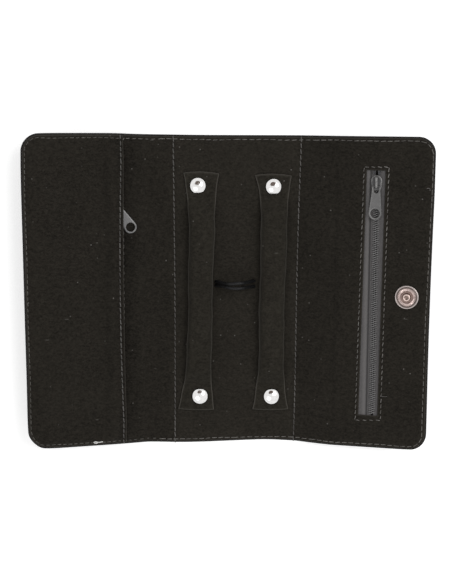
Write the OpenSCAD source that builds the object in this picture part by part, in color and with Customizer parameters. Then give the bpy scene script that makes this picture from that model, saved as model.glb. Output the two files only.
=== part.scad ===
// Fountain pen case: a suede-lined leather folder that opens flat.
// Centre panel with a pen bay, two side flaps on soft spines, two zip pockets, a magnetic snap.
// Millimetres. X runs across the open case, Y along the pen, Z up from the table.
// The origin is the middle of the centre panel's underside.

/* [Case] */
// Height of every panel, along the pen
case_height = 188; // [176:1:204]
// Width of the centre panel, fold to fold
centre_width = 75; // [72:0.5:82]
// Width of the left spine, which sets the depth of the closed case
left_spine_width = 15.2; // [15:0.1:18]
// Width of the right flap, fold to free edge
right_flap_width = 59.5; // [56:0.5:66]
// Radius of the four outer corners
corner_radius = 10; // [6:0.5:13]
// How far the left flap stays sprung up from the table, in degrees
left_flap_lift = 15; // [8:1:20]
// How far the right spine stays sprung up, in degrees
right_spine_lift = 20.5; // [12:0.5:24]
// How far the right flap falls back from its spine, in degrees
right_flap_fall = 7; // [0:0.5:9]

/* [Layers] */
// Thickness of the outer leather
leather = 1.2; // [1:0.1:1.5]
// Thickness of the stiffening board
board = 0.8; // [0.7:0.05:1]
// Thickness of the suede lining
suede = 0.8; // [0.7:0.05:1]
// Thickness of the zip tape and of the pocket cloth
tape = 0.35; // [0.25:0.05:0.5]
// How far the leather shows past the lining
edge_reveal = 1; // [0.6:0.1:1.6]
// How far the board stops short of the lining's edge
board_setback = 3; // [2:0.5:5]
// Half the gap left between two panels at a fold
fold_gap = 0.4; // [0.35:0.05:0.5]

/* [Pen bay] */
// Distance from the bay's middle to a divider's middle
divider_x = 21.9; // [20:0.1:23]
// Distance from the panel's top edge to a divider's end
divider_inset = 21.3; // [18:0.1:26]
// Width of a divider's flat ends
divider_end_width = 21.3; // [19:0.1:23]
// Width of a divider's padded ridge
ridge_width = 16; // [14:0.1:17.5]
// Height of a divider's padded ridge above the lining
ridge_height = 7.6; // [6:0.1:8.6]
// Thickness of the divider's suede
divider_suede = 1.2; // [1:0.05:1.5]
// Largest pen the elastic is stretched for
pen_diameter = 10.4; // [9:0.1:11]
// Thickness of the elastic cord
elastic_diameter = 2; // [1.6:0.1:2.2]
// Distance between the two elastic strands, centre to centre
elastic_spacing = 2.7; // [2.4:0.1:3.4]
// Half the distance between an elastic strand's two lining holes
elastic_reach = 11.4; // [10.8:0.1:12]
// Diameter of a rivet cap
rivet_cap_diameter = 9.5; // [7.5:0.1:9.8]
// Height of a rivet cap's dome
rivet_cap_height = 2.4; // [2:0.1:3.2]
// Diameter of a rivet's post
rivet_post_diameter = 3; // [2.4:0.1:3.4]
// Distance from a divider's end to its rivet
rivet_inset = 8.3; // [7:0.1:10]

/* [Zips] */
// Distance from the panel's top edge to the end of a zip window
window_inset = 20; // [18:0.5:28]
// Width of the right zip's window in the lining
window_width = 11.1; // [10:0.1:12]
// Distance from the right flap's fold to its zip chain
right_chain_x = 25.6; // [24:0.1:29]
// Distance from the left flap's fold to its hidden zip chain
left_chain_x = 18.6; // [18:0.1:20]
// Pitch of one coil's turns
coil_pitch = 1.3; // [1.2:0.05:1.5]
// Width of one coil, from its outer end to the tip of its turns
coil_width = 2.4; // [2.2:0.1:2.6]
// Height of a coil
coil_height = 1; // [0.9:0.05:1.1]
// Thickness of the coil's wire
coil_wire = 0.45; // [0.4:0.01:0.5]
// Length of a slider
slider_length = 8.8; // [8:0.1:9.5]
// Thickness of a slider's plates
slider_plate = 0.45; // [0.4:0.01:0.5]
// Diameter of the pull's eye
pull_eye_diameter = 5.2; // [4:0.1:5.4]
// Width of the pull's round end
pull_end_width = 7.4; // [7:0.1:8]
// Distance from the pull's crossbar to the middle of its eye
pull_length = 16; // [14:0.1:18]
// Thickness of the pull
pull_thickness = 1; // [0.8:0.05:1.1]
// Distance from the left flap's fold to its pocket's free edge
pocket_edge_x = 14.6; // [14.2:0.1:15.2]

/* [Snap] */
// Diameter of the snap's two halves
snap_diameter = 14; // [12:0.1:15]
// Height of the socket half
socket_height = 2.5; // [2.3:0.1:2.8]
// Height of the stud half's disc
stud_disc_height = 1.1; // [0.9:0.05:1.3]
// Diameter of the stud
stud_diameter = 4.5; // [3.8:0.1:5]
// Distance from the right flap's fold to the snap
snap_x = 44.9; // [42:0.1:47]
// Height of the snap above the case's middle
snap_y = -0.9; // [-6:0.1:6]

/* [Hidden] */
$fn = 48;

// clearances
touch_gap = 0.05;        // two layers that lie on each other
slide_gap = 0.1;         // a slider's plate over its chain
free_gap = 0.3;          // a loose piece in its space
edge_gap = 0.5;          // the folded left flap short of the right spine
snap_closed_gap = 0.15;  // between the two snap halves when shut

// layer heights, measured from a panel's outer face
fold_z = leather + suede;                 // fold axes lie in the spines' inner face
centre_top = leather + board + suede;
tape_z = leather + board;                 // underside of zip tape and pocket cloth
flap_lining_z = tape_z + tape + touch_gap;
flap_top = flap_lining_z + suede;
case_top = case_height / 2;
lining_half = case_top - edge_reveal;

// panel widths
left_flap_width = centre_width - edge_gap;
snap_height = socket_height + stud_disc_height;
right_spine_width = left_spine_width + fold_z + (flap_top - fold_z) + snap_height + snap_closed_gap;
left_snap_x = centre_width - snap_x;

// zips
window_half = case_top - window_inset;
coil_z = tape_z + tape;
coil_top = coil_z + coil_height;
coil_overlap = 0.35;                              // each coil's turns reach this far past the chain's middle
chain_half = coil_width - coil_overlap;
tape_half_gap = 0.7;
slider_y = window_half - slider_length / 2 - 3;   // closed: the slider stands below its top stops
chain_top = slider_y + 0.9;
chain_bottom = -window_half + 0.2;
slider_under = tape_z - slide_gap - slider_plate; // underside of the lower plate
slider_over = coil_top + slide_gap;               // underside of the upper plate
slider_half = chain_half + 0.4 + slider_plate;
crossbar_r = 0.45;
pull_rest = 0.4;                                  // a pull's round end lies this far over the chain
bridge_gap = 2 * crossbar_r + 0.4;
bridge_thick = 0.5;
bridge_leg_r = 0.5;
bridge_half = 3.1;                                // from the slider's middle to a bridge leg
crossbar_z = slider_over + slider_plate + bridge_gap / 2;
bridge_top = slider_over + slider_plate + bridge_gap + bridge_thick;
crossbar_y = -bridge_half + bridge_leg_r + crossbar_r + 0.15;
eye_wall = 0.9;
neck_half = 2.5;
channel_half = slider_half + free_gap;            // slot in the board under a chain
tape_width = 9;
pull_dip = asin((crossbar_z - coil_top - pull_thickness / 2 - pull_rest) / (pull_length + pull_end_width / 2));
left_pull_swing = 30;
left_slider_y = 55.2;
left_chain_top = left_slider_y + 0.9;
tape_lead = 6;                                    // the left tapes run on past the slider
left_tape_top = left_slider_y + slider_length / 2 + tape_lead;
lip_under = bridge_top + free_gap;
lip_slope = 5.5;
lip_drop = 0.7;                                   // the lip's free edge hangs this much lower
lip_flat = left_chain_x + slider_half + 0.8;      // the lip starts down to the pocket here
lip_foot = lip_flat + lip_slope;

// pen bay
bay_y = -0.7;
divider_half = case_top - divider_inset;
left_lean = 0.9;
elastic_y = 4.6;
ridge_ramp = 13;
strap_taper = 22;                                 // a strap's sides draw in over this length
ring_count = 34;
core_rings = 20;
arch_steps = 14;
strap_hollow = 0.2;                               // the flat ends stand this clear under their middle
cap_rim = 0.5;
cap_socket = 1;
rivet_strays = [[-0.7, 0.1], [0.7, 0.1], [1, -0.4], [0.9, -0.2]];
pen_r = pen_diameter / 2;
elastic_r = elastic_diameter / 2;
rivet_base_thick = 0.5;
rivet_base_r = rivet_post_diameter / 2 + 2.2;
rivet_y = divider_half - rivet_inset;
cap_clear = 0.9;
ridge_shoulder = rivet_y - rivet_cap_diameter / 2 - cap_clear - ridge_ramp;   // the ridge is full up to here
rivet_places = [for (i = [0:3]) [(i < 2 ? -1 : 1) * divider_x + rivet_strays[i][0],
    bay_y + (i % 2 == 0 ? 1 : -1) * rivet_y + rivet_strays[i][1]]];
loop_r = pen_r + elastic_r;
loop_d = sqrt(pow(elastic_reach, 2) + pow(pen_r, 2));
loop_a = acos(loop_r / loop_d) - atan2(pen_r, elastic_reach);   // where the arc meets its straight runs
loop_leg = sqrt(pow(loop_d, 2) - pow(loop_r, 2))
    + (centre_top - leather - touch_gap - elastic_r * sin(loop_a)) / cos(loop_a);
arc_steps = 16;
cord_sides = 12;

cloth_setback = 0.6;
channel_past = 3;
tape_past = 4;                                    // the tapes run on past the window's ends
window_x = right_chain_x - 1.55;                  // the hand-cut window lies off the chain's middle
window_lean = 0.85;
lip_sewn = 2;                                     // the lip is sewn flat this far from its ends
lip_ramp = 15;
lip_rings = 40;

// magnetic snap
cup_wall = 0.3;
socket_bore = stud_diameter / 2 + free_gap;
stud_top = stud_disc_height + socket_height - cup_wall - snap_closed_gap;
stud_bore = 0.85;
prong_x = 3.2;
prong_width = 2.4;
prong_thick = 0.5;
washer_r = 5.5;
washer_thick = 0.5;

suede_colour = [0.17, 0.155, 0.13];
leather_colour = [0.12, 0.105, 0.09];
board_colour = [0.42, 0.36, 0.28];
cloth_colour = [0.08, 0.08, 0.08];
tape_colour = [0.3, 0.29, 0.28];
coil_colour = [0.33, 0.32, 0.32];
black_metal = [0.08, 0.08, 0.085];
nickel = [0.72, 0.7, 0.68];
chrome = [0.85, 0.85, 0.86];
magnet_grey = [0.25, 0.25, 0.26];
cord_black = [0.03, 0.03, 0.03];

// ---- places ----

// A left leaf is drawn with its distance from the fold along +X, then turned over to the left.
module on_left_spine() {
    translate([-centre_width / 2, 0, 0]) mirror([1, 0, 0]) children();
}

module on_left_flap() {
    translate([-centre_width / 2 - left_spine_width, 0, fold_z])
        rotate([0, left_flap_lift, 0])
            translate([0, 0, -fold_z]) mirror([1, 0, 0]) children();
}

module on_right_spine() {
    translate([centre_width / 2, 0, fold_z])
        rotate([0, -right_spine_lift, 0])
            translate([0, 0, -fold_z]) children();
}

module on_right_flap() {
    translate([centre_width / 2, 0, fold_z])
        rotate([0, -right_spine_lift, 0])
            translate([right_spine_width, 0, 0]) rotate([0, right_flap_fall, 0])
                translate([0, 0, -fold_z]) children();
}

// ---- sheet shapes ----

// A flap's outline: square at the fold, round at its two outer corners.
module leaf(near, far, half, corner) {
    difference() {
        translate([near, -half]) square([far - near, 2 * half]);
        for (flip = [0, 1]) mirror([0, flip])
            difference() {
                translate([far - corner, half - corner]) square(corner + 1);
                translate([far - corner, half - corner]) circle(corner);
            }
    }
}

module sheet(z, thick) {
    translate([0, 0, z]) linear_extrude(thick) children();
}

module strip(near, far, half) {
    translate([near, -half]) square([far - near, 2 * half]);
}

// ---- covers, boards and linings ----

module cover_centre() {
    color(leather_colour) sheet(0, leather)
        strip(-centre_width / 2 + fold_gap, centre_width / 2 - fold_gap, case_top);
}

module board_centre() {
    color(board_colour) sheet(leather, board) difference() {
        square([centre_width - 2 * board_setback, 2 * lining_half - 2 * board_setback], center = true);
        for (p = rivet_places) translate(p) circle(rivet_base_r + free_gap);
        for (side = [-1, 1])
            translate([side * (elastic_reach + elastic_r), elastic_y])
                square([2 * elastic_diameter + 1, elastic_spacing + elastic_diameter + 1], center = true);
    }
}

module lining_centre() {
    color(suede_colour) difference() {
        sheet(leather + board, suede)
            strip(-centre_width / 2 + fold_gap, centre_width / 2 - fold_gap, lining_half);
        for (p = rivet_places) translate([p[0], p[1], 0])
            cylinder(h = centre_top + 1, r = rivet_post_diameter / 2 + touch_gap);
        elastic_legs(elastic_r + touch_gap);
    }
}

module spine_cover(width) {
    color(leather_colour) sheet(0, leather) strip(fold_gap, width - fold_gap, case_top);
}

module spine_lining(width) {
    color(suede_colour) sheet(leather, suede) strip(fold_gap, width - fold_gap, lining_half);
}

module cover_left_spine() { on_left_spine() spine_cover(left_spine_width); }
module cover_right_spine() { on_right_spine() spine_cover(right_spine_width); }
module lining_left_spine() { on_left_spine() spine_lining(left_spine_width); }
module lining_right_spine() { on_right_spine() spine_lining(right_spine_width); }

module flap_cover(width) {
    color(leather_colour) sheet(0, leather) leaf(fold_gap, width, case_top, corner_radius);
}

module cover_left_flap() {
    on_left_flap() difference() {
        flap_cover(left_flap_width);
        translate([left_snap_x, snap_y, 0]) prongs(-1, leather + 1, touch_gap);
    }
}

module cover_right_flap() { on_right_flap() flap_cover(right_flap_width); }

// A flap's board, with a slot for the slider's lower plate and a hole for the snap's washer.
module flap_board(width, chain_x, snap_at) {
    inset = edge_reveal + board_setback;
    color(board_colour) sheet(leather, board) difference() {
        leaf(board_setback, width - inset, case_top - inset, corner_radius - 3);
        translate([chain_x, 0]) square([2 * channel_half, 2 * (window_half + channel_past)], center = true);
        translate([snap_at, snap_y]) circle(washer_r + free_gap);
    }
}

module board_left() { on_left_flap() flap_board(left_flap_width, left_chain_x, left_snap_x); }
module board_right() { on_right_flap() flap_board(right_flap_width, right_chain_x, snap_x); }

// Cloth back of a zip pocket, beside the zip's tapes.
module pocket_cloth(chain_x, width) {
    inset = edge_reveal + cloth_setback;
    color(cloth_colour) sheet(tape_z, tape)
        leaf(chain_x + tape_half_gap + tape_width + touch_gap, width - inset, case_top - inset, corner_radius - 2);
}

module pocket_cloth_left() { on_left_flap() pocket_cloth(left_chain_x, left_flap_width); }

module pocket_cloth_right() {
    on_right_flap() difference() {
        pocket_cloth(right_chain_x, right_flap_width);
        translate([snap_x, snap_y, 0]) prongs(0, flap_top, touch_gap);
    }
}

// The strip of lining between the left fold and the pocket's lip; the inner tape is sewn under it.
module lining_left() {
    on_left_flap() color(suede_colour) difference() {
        sheet(flap_lining_z, suede) strip(fold_gap, left_chain_x - slider_half - free_gap, lining_half);
    }
}

// How far the pocket's lip is lifted at height y: full over the zip, sewn flat at both ends.
function lip_lift(y) = let (t = min(1, max(0, (lining_half - lip_sewn - abs(y)) / lip_ramp))) t * t * (3 - 2 * t);

// Underside of the pocket beside the zip at height y, from its free edge to where it lies flat.
function lip_line(y) = let (t = lip_lift(y), top = mix(flap_top + touch_gap, lip_under, t), low = flap_lining_z)
    [[pocket_edge_x, top - lip_drop * t], [pocket_edge_x + 1.2, top - 0.15 * t], [pocket_edge_x + 2.4, top],
        [lip_flat, top], [lip_flat + 1.4, mix(low, top, 0.86)], [mix(lip_flat, lip_foot, 0.5), mix(low, top, 0.5)],
        [lip_foot - 1.4, mix(low, top, 0.14)], [lip_foot, low]];

// The left pocket: flat over the flap, lifted into a lip that hides the zip.
module pocket_left() {
    far = left_flap_width - edge_reveal;
    on_left_flap() color(suede_colour) {
        sheet(flap_lining_z, suede) leaf(lip_foot, far, lining_half, corner_radius - edge_reveal);
        skin([for (j = [0:lip_rings]) let (y = -lining_half + 2 * lining_half * j / lip_rings, l = lip_line(y))
            concat([for (p = l) [p[0], y, p[1]]], [for (i = [len(l) - 1:-1:0]) [l[i][0], y, l[i][1] + suede]])],
            [for (i = [0:6]) [i, i + 1, 14 - i, 15 - i]]);
    }
}

module lining_right() {
    on_right_flap() color(suede_colour) difference() {
        sheet(flap_lining_z, suede)
            leaf(fold_gap, right_flap_width - edge_reveal, lining_half, corner_radius - edge_reveal);
        translate([window_x, 0, flap_lining_z - 1]) rotate([0, 0, -window_lean])
            translate([-window_width / 2, -window_half, 0]) cube([window_width, 2 * window_half, suede + 2]);
        translate([snap_x, snap_y, 0]) prongs(0, flap_top + 1, touch_gap);
    }
}

// ---- pen bay ----

// One rounded end-on outline of a divider: half width w and height h, n + 1 points from left to right.
function arch(w, h, n) = [for (i = [0:n]) let (a = 180 - 180 * i / n)
    [w * sign(cos(a)) * pow(abs(cos(a)), 0.6), h * pow(abs(sin(a)), 0.6)]];

// 0 on the flat ends, 1 along the ridge.
function swell(y) = let (t = (ridge_shoulder + ridge_ramp - abs(y)) / ridge_ramp, c = min(1, max(0, t)))
    c * c * (3 - 2 * c);

function mix(a, b, t) = a + (b - a) * t;
function ridge_w(y) = mix(divider_end_width, ridge_width, taper(y)) / 2;

// 0 at a strap's two ends, 1 where its sides have drawn in to the ridge's width.
function taper(y) = let (c = min(1, max(0, (divider_half - abs(y)) / strap_taper))) c * (2 - c);
function ridge_h(y) = mix(divider_suede, ridge_height, swell(y));

// Skins a row of equal closed outlines into one solid. The end faces come as lists of corner numbers.
module skin(rings, ends) {
    n = len(rings[0]);
    m = len(rings);
    polyhedron(points = [for (r = rings) for (p = r) p],
        faces = concat(
            [for (j = [0:m - 2]) for (i = [0:n - 1]) let (a = j * n + i, b = j * n + (i + 1) % n)
                each [[a, b, b + n], [a, b + n, a + n]]],
            [for (f = ends) [for (i = [len(f) - 1:-1:0]) f[i]]],
            [for (f = ends) [for (i = f) (m - 1) * n + i]]));
}

// Suede strap: flat under its rivets, arched over the foam between them.
module divider_strap() {
    n = arch_steps;
    color(suede_colour) skin([for (j = [0:ring_count]) let (
        y = divider_half * (1 - 2 * j / ring_count), w = ridge_w(y), h = ridge_h(y),
        out = arch(w, h, n),
        inn = arch(w - divider_suede, max(strap_hollow, h - divider_suede), n))
        concat([for (p = out) [p[0], y, centre_top + p[1]]],
            [for (i = [n:-1:0]) [inn[i][0], y, centre_top + inn[i][1]]])],
        [for (i = [0:n - 1]) [i, i + 1, 2 * n - i, 2 * n + 1 - i]]);
}

// Foam roll inside the strap's arch.
module divider_core() {
    reach = ridge_shoulder + ridge_ramp * 0.4;
    color(cloth_colour) skin([for (j = [0:core_rings]) let (
        y = reach * (1 - 2 * j / core_rings),
        o = arch(ridge_w(y) - divider_suede - slide_gap, ridge_h(y) - divider_suede - slide_gap, arch_steps))
        [for (p = o) [p[0], y, centre_top + p[1]]]],
        [[for (i = [0:arch_steps]) i]]);
}

module left_divider_place() {
    translate([-divider_x, bay_y, 0]) rotate([0, 0, -left_lean]) children();
}

module rivet_hole(i) {
    p = rivet_places[i];
    translate([p[0], p[1], centre_top - 1])
        cylinder(h = divider_suede + 2, r = rivet_post_diameter / 2 + touch_gap);
}

module left_divider_strap() {
    difference() {
        left_divider_place() divider_strap();
        for (i = [0, 1]) rivet_hole(i);
    }
}

module right_divider_strap() {
    difference() {
        translate([divider_x, bay_y, 0]) divider_strap();
        for (i = [2, 3]) rivet_hole(i);
    }
}

module left_divider_core() { left_divider_place() divider_core(); }
module right_divider_core() { translate([divider_x, bay_y, 0]) divider_core(); }

// Domed cap, crimped to the post.
module rivet_cap() {
    r = rivet_cap_diameter / 2;
    ball = (r * r + pow(rivet_cap_height - cap_rim, 2)) / (2 * (rivet_cap_height - cap_rim));
    difference() {
        union() {
            cylinder(h = cap_rim, r = r);
            translate([0, 0, cap_rim]) intersection() {
                translate([0, 0, rivet_cap_height - cap_rim - ball]) sphere(ball);
                cylinder(h = rivet_cap_height, r = r + 1);
            }
        }
        translate([0, 0, -1]) cylinder(h = 1 + cap_socket, r = rivet_post_diameter / 2);
    }
}

module rivet_caps() {
    color(chrome) for (p = rivet_places)
        translate([p[0], p[1], centre_top + divider_suede]) rivet_cap();
}

// Post with a flat base under the lining.
module rivet_posts() {
    color(nickel) for (p = rivet_places) translate([p[0], p[1], leather + touch_gap]) {
        cylinder(h = rivet_base_thick, r = rivet_base_r);
        translate([0, 0, rivet_base_thick / 2])
            cylinder(h = centre_top - leather - touch_gap + divider_suede + cap_socket - rivet_base_thick / 2,
                r = rivet_post_diameter / 2);
    }
}

// The straight runs of the elastic, from the arc over the pen down past the lining.
module elastic_legs(r) {
    for (row = [-1, 1]) for (side = [0, 1]) mirror([side, 0, 0])
        translate([loop_r * cos(loop_a), elastic_y + row * elastic_spacing / 2,
                centre_top + pen_r + loop_r * sin(loop_a)])
            rotate([0, 180 - loop_a, 0]) cylinder(h = loop_leg + 3, r = r);
}

// One strand's line in its upright plane: [x, z, slope] from the left hole over the pen to the right one.
function strand_line() = let (
    foot_x = loop_r * cos(loop_a) + loop_leg * sin(loop_a),
    foot_z = centre_top + pen_r + loop_r * sin(loop_a) - loop_leg * cos(loop_a))
    concat([[-foot_x, foot_z, 180 - loop_a]],
        [for (i = [0:arc_steps]) let (a = 180 - loop_a - (180 - 2 * loop_a) * i / arc_steps)
            [loop_r * cos(a), centre_top + pen_r + loop_r * sin(a), a]],
        [[foot_x, foot_z, loop_a]]);

module elastic_strands() {
    color(cord_black) for (row = [-1, 1])
        skin([for (p = strand_line()) let (a = p[2])
            [for (k = [0:cord_sides - 1]) let (u = elastic_r * cos(360 * k / cord_sides))
                [p[0] + u * cos(a), elastic_y + row * elastic_spacing / 2 + elastic_r * sin(360 * k / cord_sides),
                    p[1] + u * sin(a)]]],
            [[for (k = [0:cord_sides - 1]) k]]);
}

// ---- zips ----

// One turn of a coil, a flat ring standing across the chain.
module coil_turn() {
    r = coil_height / 2;
    rotate([90, 0, 0]) linear_extrude(coil_wire, center = true) difference() {
        union() {
            circle(r);
            translate([0, -r]) square([coil_width - coil_height, coil_height]);
            translate([coil_width - coil_height, 0]) circle(r);
        }
        translate([0, coil_wire - r]) square([coil_width - coil_height, coil_height - 2 * coil_wire]);
    }
}

module zip_coils(top) {
    color(coil_colour) translate([0, 0, coil_z + coil_height / 2])
        for (side = [0, 1]) mirror([side, 0, 0])
            for (y = [top - side * coil_pitch / 2:-coil_pitch:chain_bottom + coil_wire])
                translate([coil_height / 2 - coil_overlap, y, 0]) coil_turn();
}

module zip_tapes(top) {
    color(tape_colour) for (side = [0, 1]) mirror([side, 0, 0])
        translate([tape_half_gap, -window_half - tape_past, tape_z])
            cube([tape_width, top + window_half + tape_past, tape]);
}

// Two top stops clamped on the tapes' edges, and a flat bottom stop under the chain's end.
module zip_stops(top) {
    color(nickel) {
        for (side = [0, 1]) mirror([side, 0, 0]) translate([tape_half_gap + 0.1, top + 0.6, coil_z])
            cube([1.3, 1.8, coil_height]);
        translate([-chain_half, -window_half - 2.2, tape_z - 0.35]) cube([2 * chain_half, 2, 0.35]);
    }
}

module slider_outline(half) {
    intersection() {
        union() {
            translate([0, slider_length / 2 - half]) circle(half);
            polygon([[-half, slider_length / 2 - half], [half, slider_length / 2 - half],
                [half * 0.86, -slider_length / 2], [-half * 0.86, -slider_length / 2]]);
        }
        square([2 * half, slider_length], center = true);
    }
}

// Two plates round the chain, a wedge between them at the front, side walls and a bridge for the pull.
module zip_slider() {
    color(black_metal) {
        sheet(slider_under, slider_plate) slider_outline(slider_half);
        sheet(slider_over, slider_plate) slider_outline(slider_half);
        sheet(tape_z + tape + slide_gap, slider_over - tape_z - tape - slide_gap + slider_plate / 2)
            difference() {
                slider_outline(slider_half);
                square([2 * (slider_half - slider_plate), slider_length + 2], center = true);
            }
        sheet(slider_under + slider_plate / 2, slider_over - slider_under)
            polygon([[0, 1.2], [tape_half_gap - slide_gap, 2.4], [tape_half_gap - slide_gap, 3.9],
                [-tape_half_gap + slide_gap, 3.9], [-tape_half_gap + slide_gap, 2.4]]);
        for (y = [-bridge_half, bridge_half])
            translate([0, y, slider_over + slider_plate / 2])
                cylinder(h = bridge_gap + bridge_thick, r = bridge_leg_r);
        sheet(bridge_top - bridge_thick, bridge_thick) {
            square([2 * bridge_leg_r + 0.3, 2 * bridge_half], center = true);
            for (y = [-bridge_half, bridge_half]) translate([0, y]) circle(bridge_leg_r + 0.15);
        }
    }
}

// The pull, flat along -Y from its crossbar, which lies under the slider's bridge.
module zip_pull() {
    t = pull_thickness;
    r = pull_end_width / 2;
    hole_end = -3.4;
    color(black_metal) {
        rotate([0, 90, 0]) cylinder(h = 2 * neck_half - 0.2, r = crossbar_r, center = true);
        difference() {
            sheet(-t / 2, t) {
                translate([-neck_half, hole_end - 0.2]) square([2 * neck_half, 0.5 - hole_end]);
                polygon([[-neck_half, hole_end], [neck_half, hole_end], [r - 0.1, -pull_length],
                    [-r + 0.1, -pull_length]]);
                translate([0, -pull_length]) circle(r);
            }
            translate([0, 0, -t]) linear_extrude(2 * t) {
                translate([eye_wall - neck_half, hole_end]) square([2 * (neck_half - eye_wall), 1 - hole_end]);
                translate([0, -pull_length]) circle(pull_eye_diameter / 2);
            }
        }
    }
}

module at_right_slider() {
    on_right_flap() translate([right_chain_x, slider_y, 0]) children();
}

module at_left_slider() {
    on_left_flap() translate([left_chain_x, left_slider_y, 0]) children();
}

module right_zip_coils() { on_right_flap() translate([right_chain_x, 0, 0]) zip_coils(chain_top); }
module right_zip_tapes() { on_right_flap() translate([right_chain_x, 0, 0]) zip_tapes(window_half + tape_past); }
module right_zip_stops() { on_right_flap() translate([right_chain_x, 0, 0]) zip_stops(slider_y + slider_length / 2); }
module right_zip_slider() { at_right_slider() zip_slider(); }

module right_zip_pull() {
    at_right_slider() translate([0, crossbar_y, crossbar_z]) rotate([pull_dip, 0, 0]) zip_pull();
}

module left_zip_coils() { on_left_flap() translate([left_chain_x, 0, 0]) zip_coils(left_chain_top); }
module left_zip_tapes() { on_left_flap() translate([left_chain_x, 0, 0]) zip_tapes(left_tape_top); }
module left_zip_stops() { on_left_flap() translate([left_chain_x, 0, 0]) zip_stops(left_slider_y + slider_length / 2); }
module left_zip_slider() { at_left_slider() zip_slider(); }

// The hidden slider's pull swings out from under the lip, about the bridge's lower leg.
module left_zip_pull() {
    at_left_slider() translate([0, -bridge_half, crossbar_z]) rotate([0, 0, -left_pull_swing])
        translate([0, crossbar_y + bridge_half, 0]) rotate([pull_dip, 0, 0]) zip_pull();
}

// ---- magnetic snap ----

// The two flat legs that hold a snap half to its washer.
module prongs(from, to, extra) {
    for (side = [-1, 1]) translate([side * prong_x - prong_thick / 2 - extra, -prong_width / 2 - extra, from])
        cube([prong_thick + 2 * extra, prong_width + 2 * extra, to - from]);
}

module snap_washer() {
    sheet(leather + touch_gap, washer_thick) difference() {
        circle(washer_r);
        circle(1.2);
        for (side = [-1, 1]) translate([side * prong_x, 0])
            square([prong_thick + 2 * touch_gap, prong_width + 2 * touch_gap], center = true);
    }
}

// Socket half, on the left flap's outer face: a lipped cup over a ring magnet.
module snap_socket_cup() {
    r = snap_diameter / 2;
    on_left_flap() translate([left_snap_x, snap_y, 0]) color(nickel) rotate_extrude()
        polygon([[socket_bore, -socket_height], [r - cup_wall, -socket_height], [r, -socket_height + cup_wall],
            [r, -cup_wall], [r - cup_wall, -cup_wall], [r - cup_wall, -socket_height + cup_wall],
            [socket_bore, -socket_height + cup_wall]]);
}

module snap_magnet() {
    r = snap_diameter / 2 - cup_wall - touch_gap;
    on_left_flap() translate([left_snap_x, snap_y, 0]) color(magnet_grey)
        sheet(-socket_height + cup_wall + touch_gap, socket_height - 2 * cup_wall - 2 * touch_gap)
            difference() {
                circle(r);
                circle(socket_bore);
            }
}

module snap_socket_base() {
    on_left_flap() translate([left_snap_x, snap_y, 0]) color(nickel) {
        sheet(-cup_wall, cup_wall) circle(snap_diameter / 2);
        prongs(-cup_wall / 2, leather + touch_gap + washer_thick + 0.15, 0);
    }
}

module snap_socket_washer() {
    on_left_flap() translate([left_snap_x, snap_y, 0]) color(nickel) snap_washer();
}

// Stud half, on the right flap's lining: a stepped disc with its legs.
module snap_stud_disc() {
    r = snap_diameter / 2;
    h = stud_disc_height;
    bore = stud_diameter / 2 + touch_gap;
    on_right_flap() translate([snap_x, snap_y, flap_top]) color(nickel) {
        rotate_extrude() polygon([[bore, 0], [r, 0], [r, h - 0.25], [r - 0.25, h], [r - 0.8, h],
            [r - 1, h - 0.2], [r - 1.5, h - 0.2], [r - 1.7, h], [stud_diameter / 2 + 1.6, h],
            [stud_diameter / 2 + 1.2, h - 0.25], [bore, h - 0.25]]);
        prongs(leather + touch_gap - flap_top, h / 2, 0);
    }
}

module snap_stud() {
    r = stud_diameter / 2;
    on_right_flap() translate([snap_x, snap_y, flap_top]) color(nickel) rotate_extrude()
        polygon([[0, 0], [r, 0], [r, stud_top - 0.4], [r - 0.4, stud_top], [stud_bore, stud_top],
            [stud_bore, 1], [0, 0.7]]);
}

module snap_stud_washer() {
    on_right_flap() translate([snap_x, snap_y, 0]) color(nickel) snap_washer();
}

cover_centre();
board_centre();
lining_centre();
left_divider_strap();
left_divider_core();
right_divider_strap();
right_divider_core();
rivet_caps();
rivet_posts();
elastic_strands();
cover_left_spine();
lining_left_spine();
cover_left_flap();
board_left();
pocket_cloth_left();
lining_left();
pocket_left();
left_zip_tapes();
left_zip_coils();
left_zip_stops();
snap_socket_cup();
snap_magnet();
snap_socket_base();
snap_socket_washer();
left_zip_slider();
left_zip_pull();
cover_right_spine();
lining_right_spine();
cover_right_flap();
board_right();
pocket_cloth_right();
lining_right();
right_zip_tapes();
right_zip_coils();
right_zip_stops();
snap_stud_disc();
snap_stud();
snap_stud_washer();
right_zip_slider();
right_zip_pull();
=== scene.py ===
"""Fountain pen case, lying open: suede-lined leather folder with a pen bay, two zip pockets and a magnetic snap."""

import math

import bpy
import numpy as np
from mathutils import Matrix, Vector
from mathutils.geometry import delaunay_2d_cdt
from mathutils.kdtree import KDTree


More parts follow.
